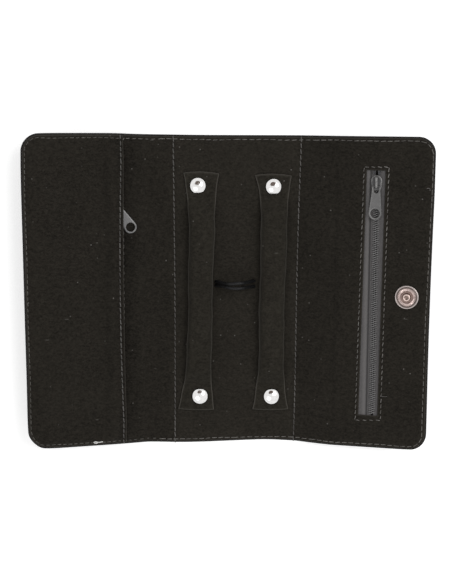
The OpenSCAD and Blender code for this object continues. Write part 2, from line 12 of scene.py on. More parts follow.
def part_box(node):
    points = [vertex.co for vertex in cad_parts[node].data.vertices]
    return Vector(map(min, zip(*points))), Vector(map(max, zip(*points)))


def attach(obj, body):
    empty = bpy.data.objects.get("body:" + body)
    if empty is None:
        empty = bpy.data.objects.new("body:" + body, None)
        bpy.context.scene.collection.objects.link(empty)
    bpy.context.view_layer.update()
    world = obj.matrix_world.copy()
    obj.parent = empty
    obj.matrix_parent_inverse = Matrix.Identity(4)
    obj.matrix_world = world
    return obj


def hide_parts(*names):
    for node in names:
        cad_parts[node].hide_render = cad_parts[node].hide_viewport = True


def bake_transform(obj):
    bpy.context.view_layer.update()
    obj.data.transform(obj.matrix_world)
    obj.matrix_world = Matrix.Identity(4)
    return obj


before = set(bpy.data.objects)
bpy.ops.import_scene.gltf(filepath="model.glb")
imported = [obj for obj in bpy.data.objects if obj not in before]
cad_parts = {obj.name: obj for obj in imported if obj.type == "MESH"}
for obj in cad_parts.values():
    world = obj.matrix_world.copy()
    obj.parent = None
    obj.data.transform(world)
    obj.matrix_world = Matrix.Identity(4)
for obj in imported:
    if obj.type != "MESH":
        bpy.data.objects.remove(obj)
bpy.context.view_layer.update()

MM = 0.001

# ---- camera ----
# The case is seen from above, a little from the foot end.

VIEW_ANGLE = math.radians(27)
CAMERA_HEIGHT, CAMERA_ACROSS, CAMERA_ALONG = 741.8, 5.39, 1.0
CAMERA_TURNS = (("Z", -0.23), ("X", 8.24), ("Y", 1.20))


def add_object(name, data):
    made = bpy.data.objects.new(name, data)
    bpy.context.scene.collection.objects.link(made)
    return made


camera_data = bpy.data.cameras.new("camera")
camera_data.sensor_fit = "VERTICAL"
camera_data.angle = VIEW_ANGLE
camera_data.clip_start, camera_data.clip_end = 0.01, 20
camera = add_object("camera", camera_data)
view = Matrix.Translation(Vector((CAMERA_ACROSS, CAMERA_ALONG, -CAMERA_HEIGHT)) * MM)
for axis, degrees in CAMERA_TURNS:
    view = view @ Matrix.Rotation(math.radians(degrees), 4, axis)
camera.matrix_world = view.inverted()
bpy.context.scene.camera = camera

# ---- floor and light ----
# A white table that keeps a soft shadow, a broad light from the right and an even white room.

ROOM_LEVEL, TABLE_WHITE, TABLE_GLOW = 0.62, 0.9, 0.43
TABLE_REACH, TABLE_Z = 3, -0.0002
WINDOW_LIGHT = dict(at=(0.75, 0.45, 1.25), size=0.9, power=8.0)
FILL_LIGHT = dict(at=(-0.55, -0.75, 1.2), size=1.1, power=2.0)
# The dark card over the table is what every domed or turned metal surface mirrors.
CARD_AT, CARD_HALF, CARD_TONE = (-0.03, 0.43, 0.62), (0.34, 0.29), (0.16, 0.13, 0.115)
CARD_CORNERS = ((-1, -0.5), (-0.9, 0.4), (-0.4, 1), (0.5, 0.9), (1, 0.3), (0.8, -0.7), (0.2, -1), (-0.6, -1))


def feed(tree, socket, value):
    """Sets a socket: to a number, a vector, a colour, or the socket that drives it."""
    if isinstance(value, bpy.types.NodeSocket):
        tree.links.new(value, socket)
    elif value is not None:
        socket.default_value = (*value, 1) if socket.type == "RGBA" else value


def node(tree, kind, sockets=None, **settings):
    """A new node with its settings, and what its sockets get, by name or number."""
    made = tree.nodes.new(kind)
    for key, value in settings.items():
        setattr(made, key, value)
    for socket, value in (sockets or {}).items():
        feed(tree, made.inputs[socket], value)
    return made


def sums(tree, operation, a, b=None, clamp=False):
    return node(tree, "ShaderNodeMath", {0: a, 1: b}, operation=operation, use_clamp=clamp).outputs[0]


def seen_directly(tree):
    """1 for rays from the camera, a mirror or glass, else 0."""
    path = node(tree, "ShaderNodeLightPath")
    camera_or_mirror = sums(tree, "MAXIMUM", path.outputs["Is Camera Ray"], path.outputs["Is Glossy Ray"])
    return sums(tree, "MAXIMUM", camera_or_mirror, path.outputs["Is Transmission Ray"])


def empty_material(name):
    material = bpy.data.materials.new(name)
    material.use_nodes = True
    material.node_tree.nodes.clear()
    return material, material.node_tree


def plain_mesh(name, points, edges=(), faces=()):
    mesh = bpy.data.meshes.new(name)
    mesh.from_pydata(points, edges, faces)
    return mesh


def stage_sheet(name, points, material):
    sheet = add_object(name, plain_mesh(name, points, faces=[tuple(range(len(points)))]))
    sheet.data.materials.append(material)
    return sheet


world = bpy.data.worlds.new("room")
world.use_nodes = True
room = world.node_tree
room.nodes.clear()
room_strength = node(
    room, "ShaderNodeMapRange", {"Value": seen_directly(room), "To Min": ROOM_LEVEL, "To Max": 1.0}
)
room_light = node(room, "ShaderNodeBackground", {"Color": (1, 1, 1), "Strength": room_strength.outputs["Result"]})
node(room, "ShaderNodeOutputWorld", {"Surface": room_light.outputs[0]})
bpy.context.scene.world = world

table_top, top_tree = empty_material("table_top")
top_white = node(top_tree, "ShaderNodeBsdfDiffuse", {"Color": (TABLE_WHITE,) * 3})
top_glow = node(
    top_tree, "ShaderNodeEmission", {"Strength": sums(top_tree, "MULTIPLY", seen_directly(top_tree), TABLE_GLOW)}
)
top_both = node(top_tree, "ShaderNodeAddShader", {0: top_white.outputs[0], 1: top_glow.outputs[0]})
node(top_tree, "ShaderNodeOutputMaterial", {"Surface": top_both.outputs[0]})
corners = ((-1, -1), (1, -1), (1, 1), (-1, 1))
floor = stage_sheet("floor", [(x * TABLE_REACH, y * TABLE_REACH, 0) for x, y in corners], table_top)
floor.location.z = TABLE_Z

card_tone, card_tree = empty_material("dark_card")
card_glow = node(card_tree, "ShaderNodeEmission", {"Color": CARD_TONE})
node(card_tree, "ShaderNodeOutputMaterial", {"Surface": card_glow.outputs[0]})
card = stage_sheet(
    "dark_card",
    [(CARD_AT[0] + x * CARD_HALF[0], CARD_AT[1] + y * CARD_HALF[1], CARD_AT[2]) for x, y in CARD_CORNERS],
    card_tone,
)
for ray in ("camera", "diffuse", "shadow", "transmission", "volume_scatter"):
    setattr(card, f"visible_{ray}", False)

for name, lamp in (("window_light", WINDOW_LIGHT), ("fill_light", FILL_LIGHT)):
    light = bpy.data.lights.new(name, "AREA")
    light.shape = "DISK"
    light.size, light.energy = lamp["size"], lamp["power"]
    shining = add_object(name, light)
    shining.location = lamp["at"]
    shining.rotation_mode = "QUATERNION"
    shining.rotation_quaternion = Vector(lamp["at"]).to_track_quat("Z", "Y")

bpy.context.scene.view_settings.view_transform = "Standard"

# ---- outer leather ----
# One skin of black-brown cowhide with a pebbled grain, raw edges painted dark. It bends softly at
# four folds, so it is drawn flat as (distance across, distance along) and then laid on the folds.

CASE_HALF = 94.0
CASE_LEFT, CASE_RIGHT = -127.2, 119.15
CASE_CORNER = 10.0
LEATHER = 1.2
LEFT_SEAM, RIGHT_SEAM = -45.1, 48.5
# Each fold's distance from the middle of the flat case, and how far the panels beyond it lean up.
CENTRE_FOLD, LEFT_FLAP, RIGHT_FLAP = 37.5, 52.7, 59.65
LEFT_FLAP_LEAN, RIGHT_SPINE_LEAN, RIGHT_FLAP_LEAN = 15.0, 20.5, 13.5
FOLD_Z, SOFT_BEND, BLEND_HALF = 2.0, 2.2, 3.0
RIGHT_FLAP_X, RIGHT_FLAP_Z = 58.247, 9.757
PATH_STEP, PATH_REACH = 0.1, 131.0
EDGE_ROUND, EDGE_ROUND_WIDTH, EDGE_BULGE = 0.35, 0.5, 0.07
GROOVE, GROOVE_WIDTH = 0.22, 0.6


def ease(t):
    t = np.clip(t, 0, 1)
    return t * t * (3 - 2 * t)


def fold_path(folds):
    """Distance along the flat case, and where that point lies once the folds are made."""
    s = np.arange(0.0, PATH_REACH, PATH_STEP)
    angle = np.zeros_like(s)
    for at, degrees in folds:
        angle += math.radians(degrees) * ease((s - at + SOFT_BEND) / (2 * SOFT_BEND))
    x, z = (
        np.concatenate([[0], np.cumsum((f(angle[1:]) + f(angle[:-1])) / 2 * PATH_STEP)]) for f in (np.cos, np.sin)
    )
    return s, x, z, angle


PATHS = {
    1: fold_path(((CENTRE_FOLD, RIGHT_SPINE_LEAN), (RIGHT_FLAP, RIGHT_FLAP_LEAN - RIGHT_SPINE_LEAN))),
    -1: fold_path(((CENTRE_FOLD, 0.0), (LEFT_FLAP, LEFT_FLAP_LEAN))),
}

# The leather was cut by hand: how far its edges stray outwards, as (place along the edge, stray).
TOP_STRAY = (
    (-122, 0.7), (-112, 1.0), (-72, 0.95), (-60, 0.35), (-48, 0.2), (-20, -0.1), (40, -0.05), (70, -0.25),
    (112, -0.4),
)
FOOT_STRAY = (
    (-122, 0.3), (-112, 0.6), (-72, 0.75), (-50, 0.5), (-34, 0.9), (-18, 0.6), (0, -0.2), (20, -0.95),
    (34, -0.2), (46, 0.35), (60, 0.6), (108, 0.75), (119, 0.2),
)
LEFT_STRAY = (
    (-94, -0.5), (-50, -0.3), (-20, 0.05), (10, 0.3), (40, 0.55), (65, 0.8), (80, 0.75), (94, 0.4),
)
RIGHT_STRAY = ((-94, -1.1), (-50, -1.25), (-20, -1.2), (10, -0.95), (35, -0.6), (60, -0.1), (94, 0.0))
STRAY_BLUR = (-6, -3, 0, 3, 6)
# The corner at the left flap's foot is worn rounder than the others, over this distance.
WORN_CORNER = 8.5


def stray(table, at):
    places, amounts = np.array(table, float).T
    return sum(np.interp(at + shift, places, amounts) for shift in STRAY_BLUR) / len(STRAY_BLUR)


def hand_cut(s, y):
    """The outline as it was cut."""
    near_end = np.clip(np.abs(y) / CASE_HALF, 0, 1.02) ** 5
    near_side = np.clip(np.where(s < 0, s / CASE_LEFT, s / CASE_RIGHT), 0, 1.02) ** 8
    worn = np.exp(-(((s - CASE_LEFT) / WORN_CORNER) ** 2) - (((y + CASE_HALF) / WORN_CORNER) ** 2))
    return (
        s + near_side * np.where(s < 0, -stray(LEFT_STRAY, y), stray(RIGHT_STRAY, y)) + worn,
        y + near_end * np.where(y > 0, stray(TOP_STRAY, s), -stray(FOOT_STRAY, s)) + worn,
    )


def place(s, y, h):
    """Points of the flat case, at height h over its outer face, as they lie at rest; in metres."""
    s, y = hand_cut(np.asarray(s, float), np.asarray(y, float))
    s, y, h = (np.asarray(q, float) for q in np.broadcast_arrays(s, y, h))
    out = np.zeros(s.shape + (3,))
    for side, (along, *path) in PATHS.items():
        pick = (s >= 0) == (side > 0)
        x, z, a = (np.interp(np.abs(s[pick]), along, q) for q in path)
        lift = h[pick] - FOLD_Z
        out[pick] = np.stack([side * (x - lift * np.sin(a)), y[pick], FOLD_Z + z + lift * np.cos(a)], -1)
    return out * MM


def rounded_inset(s, y, left, right, half, corner):
    """Distance inside the edge of a rounded rectangle."""
    qx = np.abs(s - (left + right) / 2) - (right - left) / 2 + corner
    qy = np.abs(y) - half + corner
    outside = np.hypot(np.maximum(qx, 0), np.maximum(qy, 0))
    return corner - outside - np.minimum(np.maximum(qx, qy), 0)


def case_edge(s, y):
    return rounded_inset(s, y, CASE_LEFT, CASE_RIGHT, CASE_HALF, CASE_CORNER)


def edge_rounding(s, y, edge):
    """How far a rounded edge falls away from its sheet's face."""
    near = np.clip(1 - np.clip(edge(s, y), 0, None) / EDGE_ROUND_WIDTH, 0, 1)
    return EDGE_ROUND * (1 - np.sqrt(1 - near ** 2))


def outline(left, right, half, corner_left=0.0, corner_right=0.0):
    """Corners of one panel, anticlockwise, with round corners where a radius is given."""
    points = []
    for cx, cy, r, start in (
        (right, -half, corner_right, -90), (right, half, corner_right, 0),
        (left, half, corner_left, 90), (left, -half, corner_left, 180),
    ):
        mx, my = cx - math.copysign(r, cx - (left + right) / 2), cy - math.copysign(r, cy)
        turns = [math.radians(start + 90 * k / 12) for k in range(13)]
        points += [(mx + r * math.cos(a), my + r * math.sin(a)) for a in turns] if r else [(cx, cy)]
    return points


def resample(points, pitch, closed=True):
    """The same line with a point at least every pitch."""
    points = np.asarray(points, float)
    if closed:
        points = np.vstack([points, points[:1]])
    out = []
    for a, b in zip(points[:-1], points[1:]):
        n = max(1, int(math.ceil(np.hypot(*(b - a)) / pitch)))
        out += [a + (b - a) * k / n for k in range(n)]
    return np.array(out if closed else [*out, points[-1]])


def inside(points, polygon):
    x, y = points[:, 0], points[:, 1]
    hit = np.zeros(len(points), bool)
    for (x0, y0), (x1, y1) in zip(polygon, np.roll(polygon, -1, 0)):
        crosses = (y0 > y) != (y1 > y)
        with np.errstate(divide="ignore", invalid="ignore"):
            hit ^= crosses & (x < (x1 - x0) * (y - y0) / (y1 - y0) + x0)
    return hit


def within(points, rims):
    """Whether points lie inside the first rim and outside the rest, which are holes."""
    good = inside(points, rims[0])
    for hole in rims[1:]:
        good &= ~inside(points, hole)
    return good


def line_distance(points, line):
    """Distance of each point from a polyline."""
    best = np.full(len(points), 1e9)
    for a, b in zip(line[:-1], line[1:]):
        d = b - a
        t = np.clip(((points - a) @ d) / max(d @ d, 1e-9), 0, 1)
        best = np.minimum(best, np.hypot(*(points - a - t[:, None] * d).T))
    return best


def slope(edge, s, y, gap=1e-3):
    """The direction in which a distance grows."""
    return np.stack([edge(s + gap, y) - edge(s - gap, y), edge(s, y + gap) - edge(s, y - gap)], -1) / (2 * gap)


def staggered(low, high, across, along):
    """A grid whose every second row is shifted by half a step."""
    return np.array([
        (x, y)
        for j, y in enumerate(np.arange(low[1] + across / 2, high[1], along))
        for x in np.arange(low[0] + across / 2 + (j % 2) * across / 2, high[0], across)
    ])


def ring_edges(start, n):
    return [(start + k, start + (k + 1) % n) for k in range(n)]


def anticlockwise(cell, flat):
    (ax, ay), (bx, by), (cx, cy) = (flat[i] for i in cell)
    return list(cell) if (bx - ax) * (cy - ay) - (by - ay) * (cx - ax) >= 0 else list(reversed(cell))


def undulate(s, y, size):
    """Slow hand-made waves, the same for neighbouring panels."""
    return size * (
        0.5 * np.sin(s * 0.083 + 0.4 + 0.9 * np.sin(y * 0.031))
        + 0.3 * np.sin(y * 0.117 + 1.3 + s * 0.041)
        + 0.2 * np.sin(s * 0.21 - y * 0.17 + 2.2)
    )


def new_piece(name, vertices, faces, material, smooth=True):
    mesh = plain_mesh(name, [tuple(v) for v in vertices], faces=[tuple(f) for f in faces])
    mesh.polygons.foreach_set("use_smooth", [smooth] * len(mesh.polygons))
    mesh.materials.append(material)
    mesh.update()
    return add_object(name, mesh)


def mark(piece, name, values):
    """A number at each point, for a material to read."""
    layer = piece.data.attributes.new(name, "FLOAT", "POINT")
    layer.data.foreach_set("value", np.array(values, np.float32))


def unroll(piece, uv):
    """The piece's flat coordinates, in mm, as its UV map."""
    loops = np.zeros(len(piece.data.loops), int)
    piece.data.loops.foreach_get("vertex_index", loops)
    piece.data.uv_layers.new(name="flat").data.foreach_set("uv", (np.array(uv, float)[loops] * MM).ravel())


# How a sheet's mesh is spaced, in mm: its rim, rows inside a free edge, beside a seam and along a fold.
RIM_PITCH, EDGE_ROWS, EDGE_CLEAR = 1.2, (0.16, 0.42, 0.95), 0.1
SEAM_PITCH, SEAM_LANES, SEAM_MARGIN, SEAM_CLEAR = 0.85, (0, -0.45, 0.45, -1.0, 1.0), 1.1, 0.3
BEND_LANES, BEND_LANE, BEND_PITCH, BEND_CLEAR = 4, 0.8, 2.0, 0.45
GRID_MARGIN, GRID_ROW, GRID_CLEAR = 1.4, 0.87, 0.62
AT_EDGE = 0.2


def sheet_points(rims, edge, seams, step, fold):
    """Where a sheet's vertices lie on the flat case."""
    rim = np.vstack(rims)
    points = [tuple(p) for p in rim]

    def add(candidates, margin, clear):
        spaced = KDTree(len(points))
        for i, p in enumerate(points):
            spaced.insert((*p, 0), i)
        spaced.balance()
        candidates = candidates[within(candidates, rims) & (edge(*candidates.T) > margin)]
        points.extend([tuple(p) for p in candidates if spaced.find((*p, 0))[2] > clear])

    inwards = slope(edge, *rim.T)
    free = np.abs(edge(*rim.T)) < AT_EDGE
    add(np.vstack([rim[free] + inwards[free] * d for d in EDGE_ROWS]), EDGE_CLEAR, EDGE_CLEAR)
    for seam in seams:
        line = resample(seam, SEAM_PITCH, closed=False)
        along = np.gradient(line, axis=0)
        along /= np.hypot(*along.T)[:, None]
        across = np.stack([-along[:, 1], along[:, 0]], -1)
        add(np.vstack([line + across * d for d in SEAM_LANES]), SEAM_MARGIN, SEAM_CLEAR)
    low, high = rims[0].min(0), rims[0].max(0)
    if fold is not None:
        lanes = [fold + k * BEND_LANE for k in range(-BEND_LANES, BEND_LANES + 1)]
        bend = [(s, y) for y in np.arange(low[1] + 1.5, high[1], BEND_PITCH) for s in lanes]
        add(np.array(bend), GRID_MARGIN, BEND_CLEAR)
    add(staggered(low, high, step, step * GRID_ROW), GRID_MARGIN, GRID_CLEAR * step)
    return points


def sheet_cells(points, rims):
    """The sheet's flat triangles, and the points that they use."""
    edges, start = [], 0
    for rim in rims:
        edges += ring_edges(start, len(rim))
        start += len(rim)
    flat, _, cells = delaunay_2d_cdt([Vector(p) for p in points], edges, [], 0, 1e-5)[:3]
    flat = np.array([tuple(p) for p in flat])
    keep = within(np.array([flat[list(cell)].mean(0) for cell in cells]), rims)
    cells = [cell for cell, kept in zip(cells, keep) if kept]
    used = sorted({v for cell in cells for v in cell})
    renumber = {v: i for i, v in enumerate(used)}
    flat = flat[used]
    return flat, [anticlockwise([renumber[v] for v in cell], flat) for cell in cells]


def lay_sheet(name, rim, edge, top, bottom, material, seams=(), holes=(), step=2.0, cut=0.3, fold=None):
    """A sheet of leather or suede: a fine mesh with rounded free edges and sewn grooves.

    rim is the panel's outline, edge the distance from a free edge, top and bottom the heights."""
    rims = [resample(loop, RIM_PITCH) for loop in (rim, *holes)]
    flat, cells = sheet_cells(sheet_points(rims, edge, seams, step, fold), rims)
    s, y = flat.T
    d = np.clip(edge(s, y), 0, None)
    up, down = top(s, y) - edge_rounding(s, y, edge), bottom(s, y)
    for seam in seams:
        up = up - GROOVE * np.exp(-((line_distance(flat, np.asarray(seam, float)) / GROOVE_WIDTH) ** 2))
    n = len(flat)
    vertices = [*place(s, y, up), *place(s, y, down)]
    uv = [*flat, *flat]
    paler = list(cut * np.exp(-((d / 0.42) ** 2))) * 2
    faces = [tuple(f) for f in cells] + [tuple(n + v for v in reversed(f)) for f in cells]
    directed = {(f[k], f[(k + 1) % len(f)]) for f in cells for k in range(len(f))}
    middle, crease, ends = {}, set(), {}
    for a, b in sorted((a, b) for a, b in directed if (b, a) not in directed):
        free = d[a] < AT_EDGE and d[b] < AT_EDGE
        ends.setdefault(a, {})["from"] = ends.setdefault(b, {})["to"] = free
        if not free:
            faces.append((b, a, n + a, n + b))
            crease |= {(min(a, b), max(a, b)), (n + min(a, b), n + max(a, b))}
            continue
        for v in (a, b):
            if v in middle:
                continue
            out_s, out_y = slope(edge, s[v], y[v]) * EDGE_BULGE
            at = (s[v] - out_s, y[v] - out_y, (up[v] + down[v]) / 2)
            middle[v] = len(vertices)
            vertices.append(place(*at))
            uv.append((at[0] + 0.6, at[1] + 0.6))
            paler.append(1.3 * cut)
        faces += [(b, a, middle[a], middle[b]), (middle[b], middle[a], n + a, n + b)]
    # Where a free edge meets a seam's plain wall, a small triangle closes the gap.
    for v, meets in ends.items():
        if meets.get("from") != meets.get("to") and v in middle:
            faces.append((v, middle[v], n + v) if meets["to"] else (v, n + v, middle[v]))
    piece = new_piece(name, vertices, faces, material)
    pairs = np.zeros(2 * len(piece.data.edges), int)
    piece.data.edges.foreach_get("vertices", pairs)
    hard = [(min(a, b), max(a, b)) in crease for a, b in pairs.reshape(-1, 2).tolist()]
    piece.data.attributes.new("sharp_edge", "BOOLEAN", "EDGE").data.foreach_set("value", hard)
    unroll(piece, uv)
    mark(piece, "cut_edge", paler)
    return piece


def surface_group(name, **inputs):
    """An effect that several materials use: a pattern over "Vector" that gives colour, roughness and height."""
    tree = bpy.data.node_groups.new(name, "ShaderNodeTree")
    tree.interface.new_socket("Vector", in_out="INPUT", socket_type="NodeSocketVector")
    for label, value in inputs.items():
        kind = "Color" if isinstance(value, tuple) else "Float"
        socket = tree.interface.new_socket(label.replace("_", " "), in_out="INPUT", socket_type=f"NodeSocket{kind}")
        socket.default_value = (*value, 1) if kind == "Color" else value
    for label, kind in (("Color", "Color"), ("Roughness", "Float"), ("Height", "Float")):
        tree.interface.new_socket(label, in_out="OUTPUT", socket_type=f"NodeSocket{kind}")
    return tree, tree.nodes.new("NodeGroupInput").outputs


def noise(tree, vector, scale, detail=2.0, roughness=0.5):
    sockets = {"Vector": vector, "Scale": scale, "Detail": detail, "Roughness": roughness}
    return node(tree, "ShaderNodeTexNoise", sockets).outputs[0]


def spread(tree, value, low, high, to_low=0.0, to_high=1.0):
    sockets = {"Value": value, "From Min": low, "From Max": high, "To Min": to_low, "To Max": to_high}
    return node(tree, "ShaderNodeMapRange", sockets, interpolation_type="SMOOTHSTEP").outputs["Result"]


def blend_colours(tree, factor, a, b):
    return node(tree, "ShaderNodeMix", {"Factor": factor, "A": a, "B": b}, data_type="RGBA").outputs[2]


def principled(name, flat=False, **settings):
    """A new material, its tree and shader, and the coordinates its pattern reads: the piece's UV or the object's."""
    material = bpy.data.materials.new(name)
    material.use_nodes = True
    tree = material.node_tree
    shader = next(n for n in tree.nodes if n.type == "BSDF_PRINCIPLED")
    for label, value in settings.items():
        shader.inputs[label.replace("_", " ")].default_value = value
    return material, tree, shader, node(tree, "ShaderNodeTexCoord").outputs["UV" if flat else "Object"]


def finish(tree, shader, colour, roughness, height, depth=0.0, strength=1.0):
    """Feeds the shader, with height as a relief of that depth in metres."""
    feed(tree, shader.inputs["Base Color"], colour)
    feed(tree, shader.inputs["Roughness"], roughness)
    if height is not None:
        bump = node(tree, "ShaderNodeBump", {"Height": height, "Distance": depth, "Strength": strength})
        feed(tree, shader.inputs["Normal"], bump.outputs["Normal"])


# Pebbled grain with fine creases.
grain, hide_in = surface_group("pebbled_grain", Cells=900.0, Dark=(0, 0, 0), Light=(0.1, 0.1, 0.1))
drift = node(grain, "ShaderNodeTexNoise", {"Vector": hide_in["Vector"], "Scale": 260.0})
wander = node(
    grain, "ShaderNodeVectorMath", {0: drift.outputs["Color"], 1: (0.0008,) * 3, 2: hide_in["Vector"]},
    operation="MULTIPLY_ADD",
)
cells = node(
    grain, "ShaderNodeTexVoronoi", {"Vector": wander.outputs[0], "Scale": hide_in["Cells"]},
    feature="DISTANCE_TO_EDGE",
)
pebble = spread(grain, cells.outputs["Distance"], 0.0, 0.22)
broad = noise(grain, hide_in["Vector"], 42.0, 3.0)
fine = noise(grain, hide_in["Vector"], 3200.0)
shade = sums(
    grain, "MULTIPLY", sums(grain, "MULTIPLY_ADD", pebble, 0.7), spread(grain, broad, 0.3, 0.7, 0.55, 1.0)
)
node(grain, "NodeGroupOutput", {
    "Color": blend_colours(grain, shade, hide_in["Dark"], hide_in["Light"]),
    "Roughness": spread(grain, sums(grain, "MULTIPLY", pebble, broad), 0.0, 0.6, 0.62, 0.44),
    "Height": sums(grain, "ADD", pebble, sums(grain, "MULTIPLY", fine, 0.25)),
})

leather, leather_tree, leather_shader, leather_at = principled("black_cowhide", flat=True, Specular_IOR_Level=0.16)
hide = node(
    leather_tree, "ShaderNodeGroup",
    {"Vector": leather_at, "Cells": 820.0, "Dark": (0.0040, 0.0034, 0.0030), "Light": (0.0150, 0.0130, 0.0115)},
    node_tree=grain,
).outputs
finish(leather_tree, leather_shader, hide["Color"], hide["Roughness"], hide["Height"], 0.00012, 0.8)


def leather_top(s, y):
    return np.full_like(s, LEATHER)


def leather_under(s, y):
    return edge_rounding(s, y, case_edge)


def leaning(degrees):
    return Vector((math.cos(math.radians(degrees)), 0, math.sin(math.radians(degrees))))


# Each quarter of the case bends over one fold: a half over the inner one, a wing over the outer one.
# What it spans, its fold on the flat case, that fold at rest, and the ways from it to its two bodies.
LEFTWARDS, RIGHTWARDS = Vector((-1, 0, 0)), Vector((1, 0, 0))
QUARTERS = {
    ("left", "half"): (
        (LEFT_SEAM, 0.0), -CENTRE_FOLD, Vector((-CENTRE_FOLD, 0, FOLD_Z)), RIGHTWARDS, LEFTWARDS,
    ),
    ("left", "wing"): (
        (CASE_LEFT, LEFT_SEAM), -LEFT_FLAP, Vector((-LEFT_FLAP, 0, FOLD_Z)), RIGHTWARDS, LEFTWARDS,
    ),
    ("right", "half"): (
        (0.0, RIGHT_SEAM), CENTRE_FOLD, Vector((CENTRE_FOLD, 0, FOLD_Z)), LEFTWARDS, leaning(RIGHT_SPINE_LEAN),
    ),
    ("right", "wing"): (
        (RIGHT_SEAM, CASE_RIGHT), RIGHT_FLAP, Vector((RIGHT_FLAP_X, 0, RIGHT_FLAP_Z)),
        -leaning(RIGHT_SPINE_LEAN), leaning(RIGHT_FLAP_LEAN),
    ),
}


def cross_blend(piece):
    """Bakes a piece's placing into its mesh; place has already laid it over its quarter's fold."""
    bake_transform(piece)


for side, ((low, high), fold, *_) in QUARTERS.items():
    across, half = side
    corners = [CASE_CORNER if end in (CASE_LEFT, CASE_RIGHT) else 0 for end in (low, high)]
    rim = outline(low, high, CASE_HALF, *corners)
    piece = lay_sheet(
        f"leather_{across}_{half}", rim, case_edge, leather_top, leather_under, leather, step=3.0, fold=fold
    )
    covers = ["centre"] if half == "half" else [f"{across}_spine", f"{across}_flap"]
    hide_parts(*(f"cover_{part}" for part in covers))
    cross_blend(piece)

# ---- suede lining ----
# Split suede, charcoal brown, nap side up. Boards under it stop short of the edges, so each panel
# is a low pillow that is sewn down flat all round.

SUEDE = 0.8
REVEAL = 1.0
LINING_HALF = CASE_HALF - REVEAL
CENTRE_TOP, SPINE_TOP, FLAP_TOP = 2.8, 2.0, 3.2
SEWN_TOP = LEATHER + SUEDE
WAVES = 0.22
LINT, PALE_CUT = (0.12, 0.115, 0.105), (0.08, 0.074, 0.064)


def stretched(tree, vector, turn, scale):
    """Coordinates turned and drawn out, so that a pattern on them has a direction."""
    return node(
        tree, "ShaderNodeMapping", {"Vector": vector, "Rotation": (0, 0, turn), "Scale": scale}
    ).outputs[0]


def scattered(tree, vector, scale, channel, size, chosen):
    """Small spots in a few of the cells of a cell pattern."""
    spots = node(tree, "ShaderNodeTexVoronoi", {"Vector": vector, "Scale": scale}, feature="F1")
    pick = node(tree, "ShaderNodeSeparateColor", {0: spots.outputs["Color"]})
    near = spread(tree, spots.outputs["Distance"], *size)
    return sums(tree, "MULTIPLY", near, spread(tree, pick.outputs[channel], *chosen))


nap, nap_in = surface_group(
    "suede_nap", Dark=(0, 0, 0), Light=(0.1, 0.1, 0.1), Lint=(0.2, 0.2, 0.2), Lint_Amount=1.0, Lift=0.0
)
nap_at = nap_in["Vector"]
brushed = stretched(nap, nap_at, 0.2, (0.72, 1.0, 1.0))
cloudy = noise(nap, nap_at, 38.0, 4.0, 0.6)
patchy = noise(nap, brushed, 420.0, 4.0, 0.75)
fibre = noise(nap, brushed, 950.0, 3.0, 0.75)
fuzz = noise(nap, nap_at, 3800.0, 2.0, 0.6)
tone = sums(nap, "MULTIPLY", spread(nap, cloudy, 0.3, 0.7), 0.13)
for layer, share in (
    (spread(nap, patchy, 0.33, 0.67), 0.33), (spread(nap, fibre, 0.32, 0.68), 0.40), (fuzz, 0.14),
):
    tone = sums(nap, "ADD", tone, sums(nap, "MULTIPLY", layer, share))
base = blend_colours(nap, sums(nap, "ADD", tone, nap_in["Lift"]), nap_in["Dark"], nap_in["Light"])
speck = scattered(nap, nap_at, 240.0, 0, (0.13, 0.05), (0.72, 1.0))
hair = scattered(nap, stretched(nap, nap_at, 0.35, (0.2, 1.0, 1.0)), 330.0, 1, (0.12, 0.04), (0.9, 0.94))
lint = sums(nap, "MAXIMUM", speck, sums(nap, "MULTIPLY", hair, 0.45))
rough_height = sums(nap, "ADD", sums(nap, "MULTIPLY", fuzz, 0.5), sums(nap, "MULTIPLY", patchy, 0.5))
node(nap, "NodeGroupOutput", {
    "Color": blend_colours(nap, sums(nap, "MULTIPLY", lint, nap_in["Lint Amount"]), base, nap_in["Lint"]),
    "Roughness": spread(nap, fibre, 0.2, 0.8, 0.98, 0.86),
    "Height": sums(nap, "ADD", sums(nap, "MULTIPLY", fibre, 0.6), rough_height),
})


def suede_material(name, dark, light, flat=True, lift=None):
    """Suede, paler where a mesh's "cut_edge" says that the leather was cut."""
    material, tree, shader, where = principled(
        name, flat, Specular_IOR_Level=0.05, Sheen_Weight=0.05, Sheen_Roughness=0.55,
        Sheen_Tint=(0.85, 0.82, 0.75, 1),
    )
    # lift, where given, adds a tone over the surface; for the lining it carries a painted shade beside the pocket's
    # lip.
    sockets = {"Vector": where, "Dark": dark, "Light": light, "Lint": LINT, "Lift": lift and lift(tree, where)}
    surface = node(tree, "ShaderNodeGroup", sockets, node_tree=nap).outputs
    cut = node(tree, "ShaderNodeAttribute", attribute_name="cut_edge").outputs["Fac"]
    colour = blend_colours(tree, cut, surface["Color"], PALE_CUT)
    finish(tree, shader, colour, surface["Roughness"], surface["Height"], 0.00022, 0.7)
    return material


def centre_tone_and_lip_shade(tree, where):
    """The centre panel's suede is paler, and a band beside the pocket's lip is darker: painted shade under the lip's
    overhang.
    """
    across = node(tree, "ShaderNodeSeparateXYZ", {0: where}).outputs[0]
    centre_paler = spread(tree, sums(tree, "ABSOLUTE", across), 0.042, 0.034, 0.0, 0.12)
    # Painted shade: the band beside the pocket's lip is darkened where the lip's overhang shades it.
    lip_shade = sums(
        tree, "MULTIPLY", spread(tree, across, -0.054, -0.066, 0.0, -0.17), spread(tree, across, -0.075, -0.069)
    )
    return sums(tree, "ADD", centre_paler, lip_shade)


# The lining suede carries the painted shade beside the pocket's lip.
suede = suede_material("charcoal_suede", (0.0050, 0.0044, 0.0035), (0.0302, 0.0266, 0.0212), lift=centre_tone_and_lip_shade)


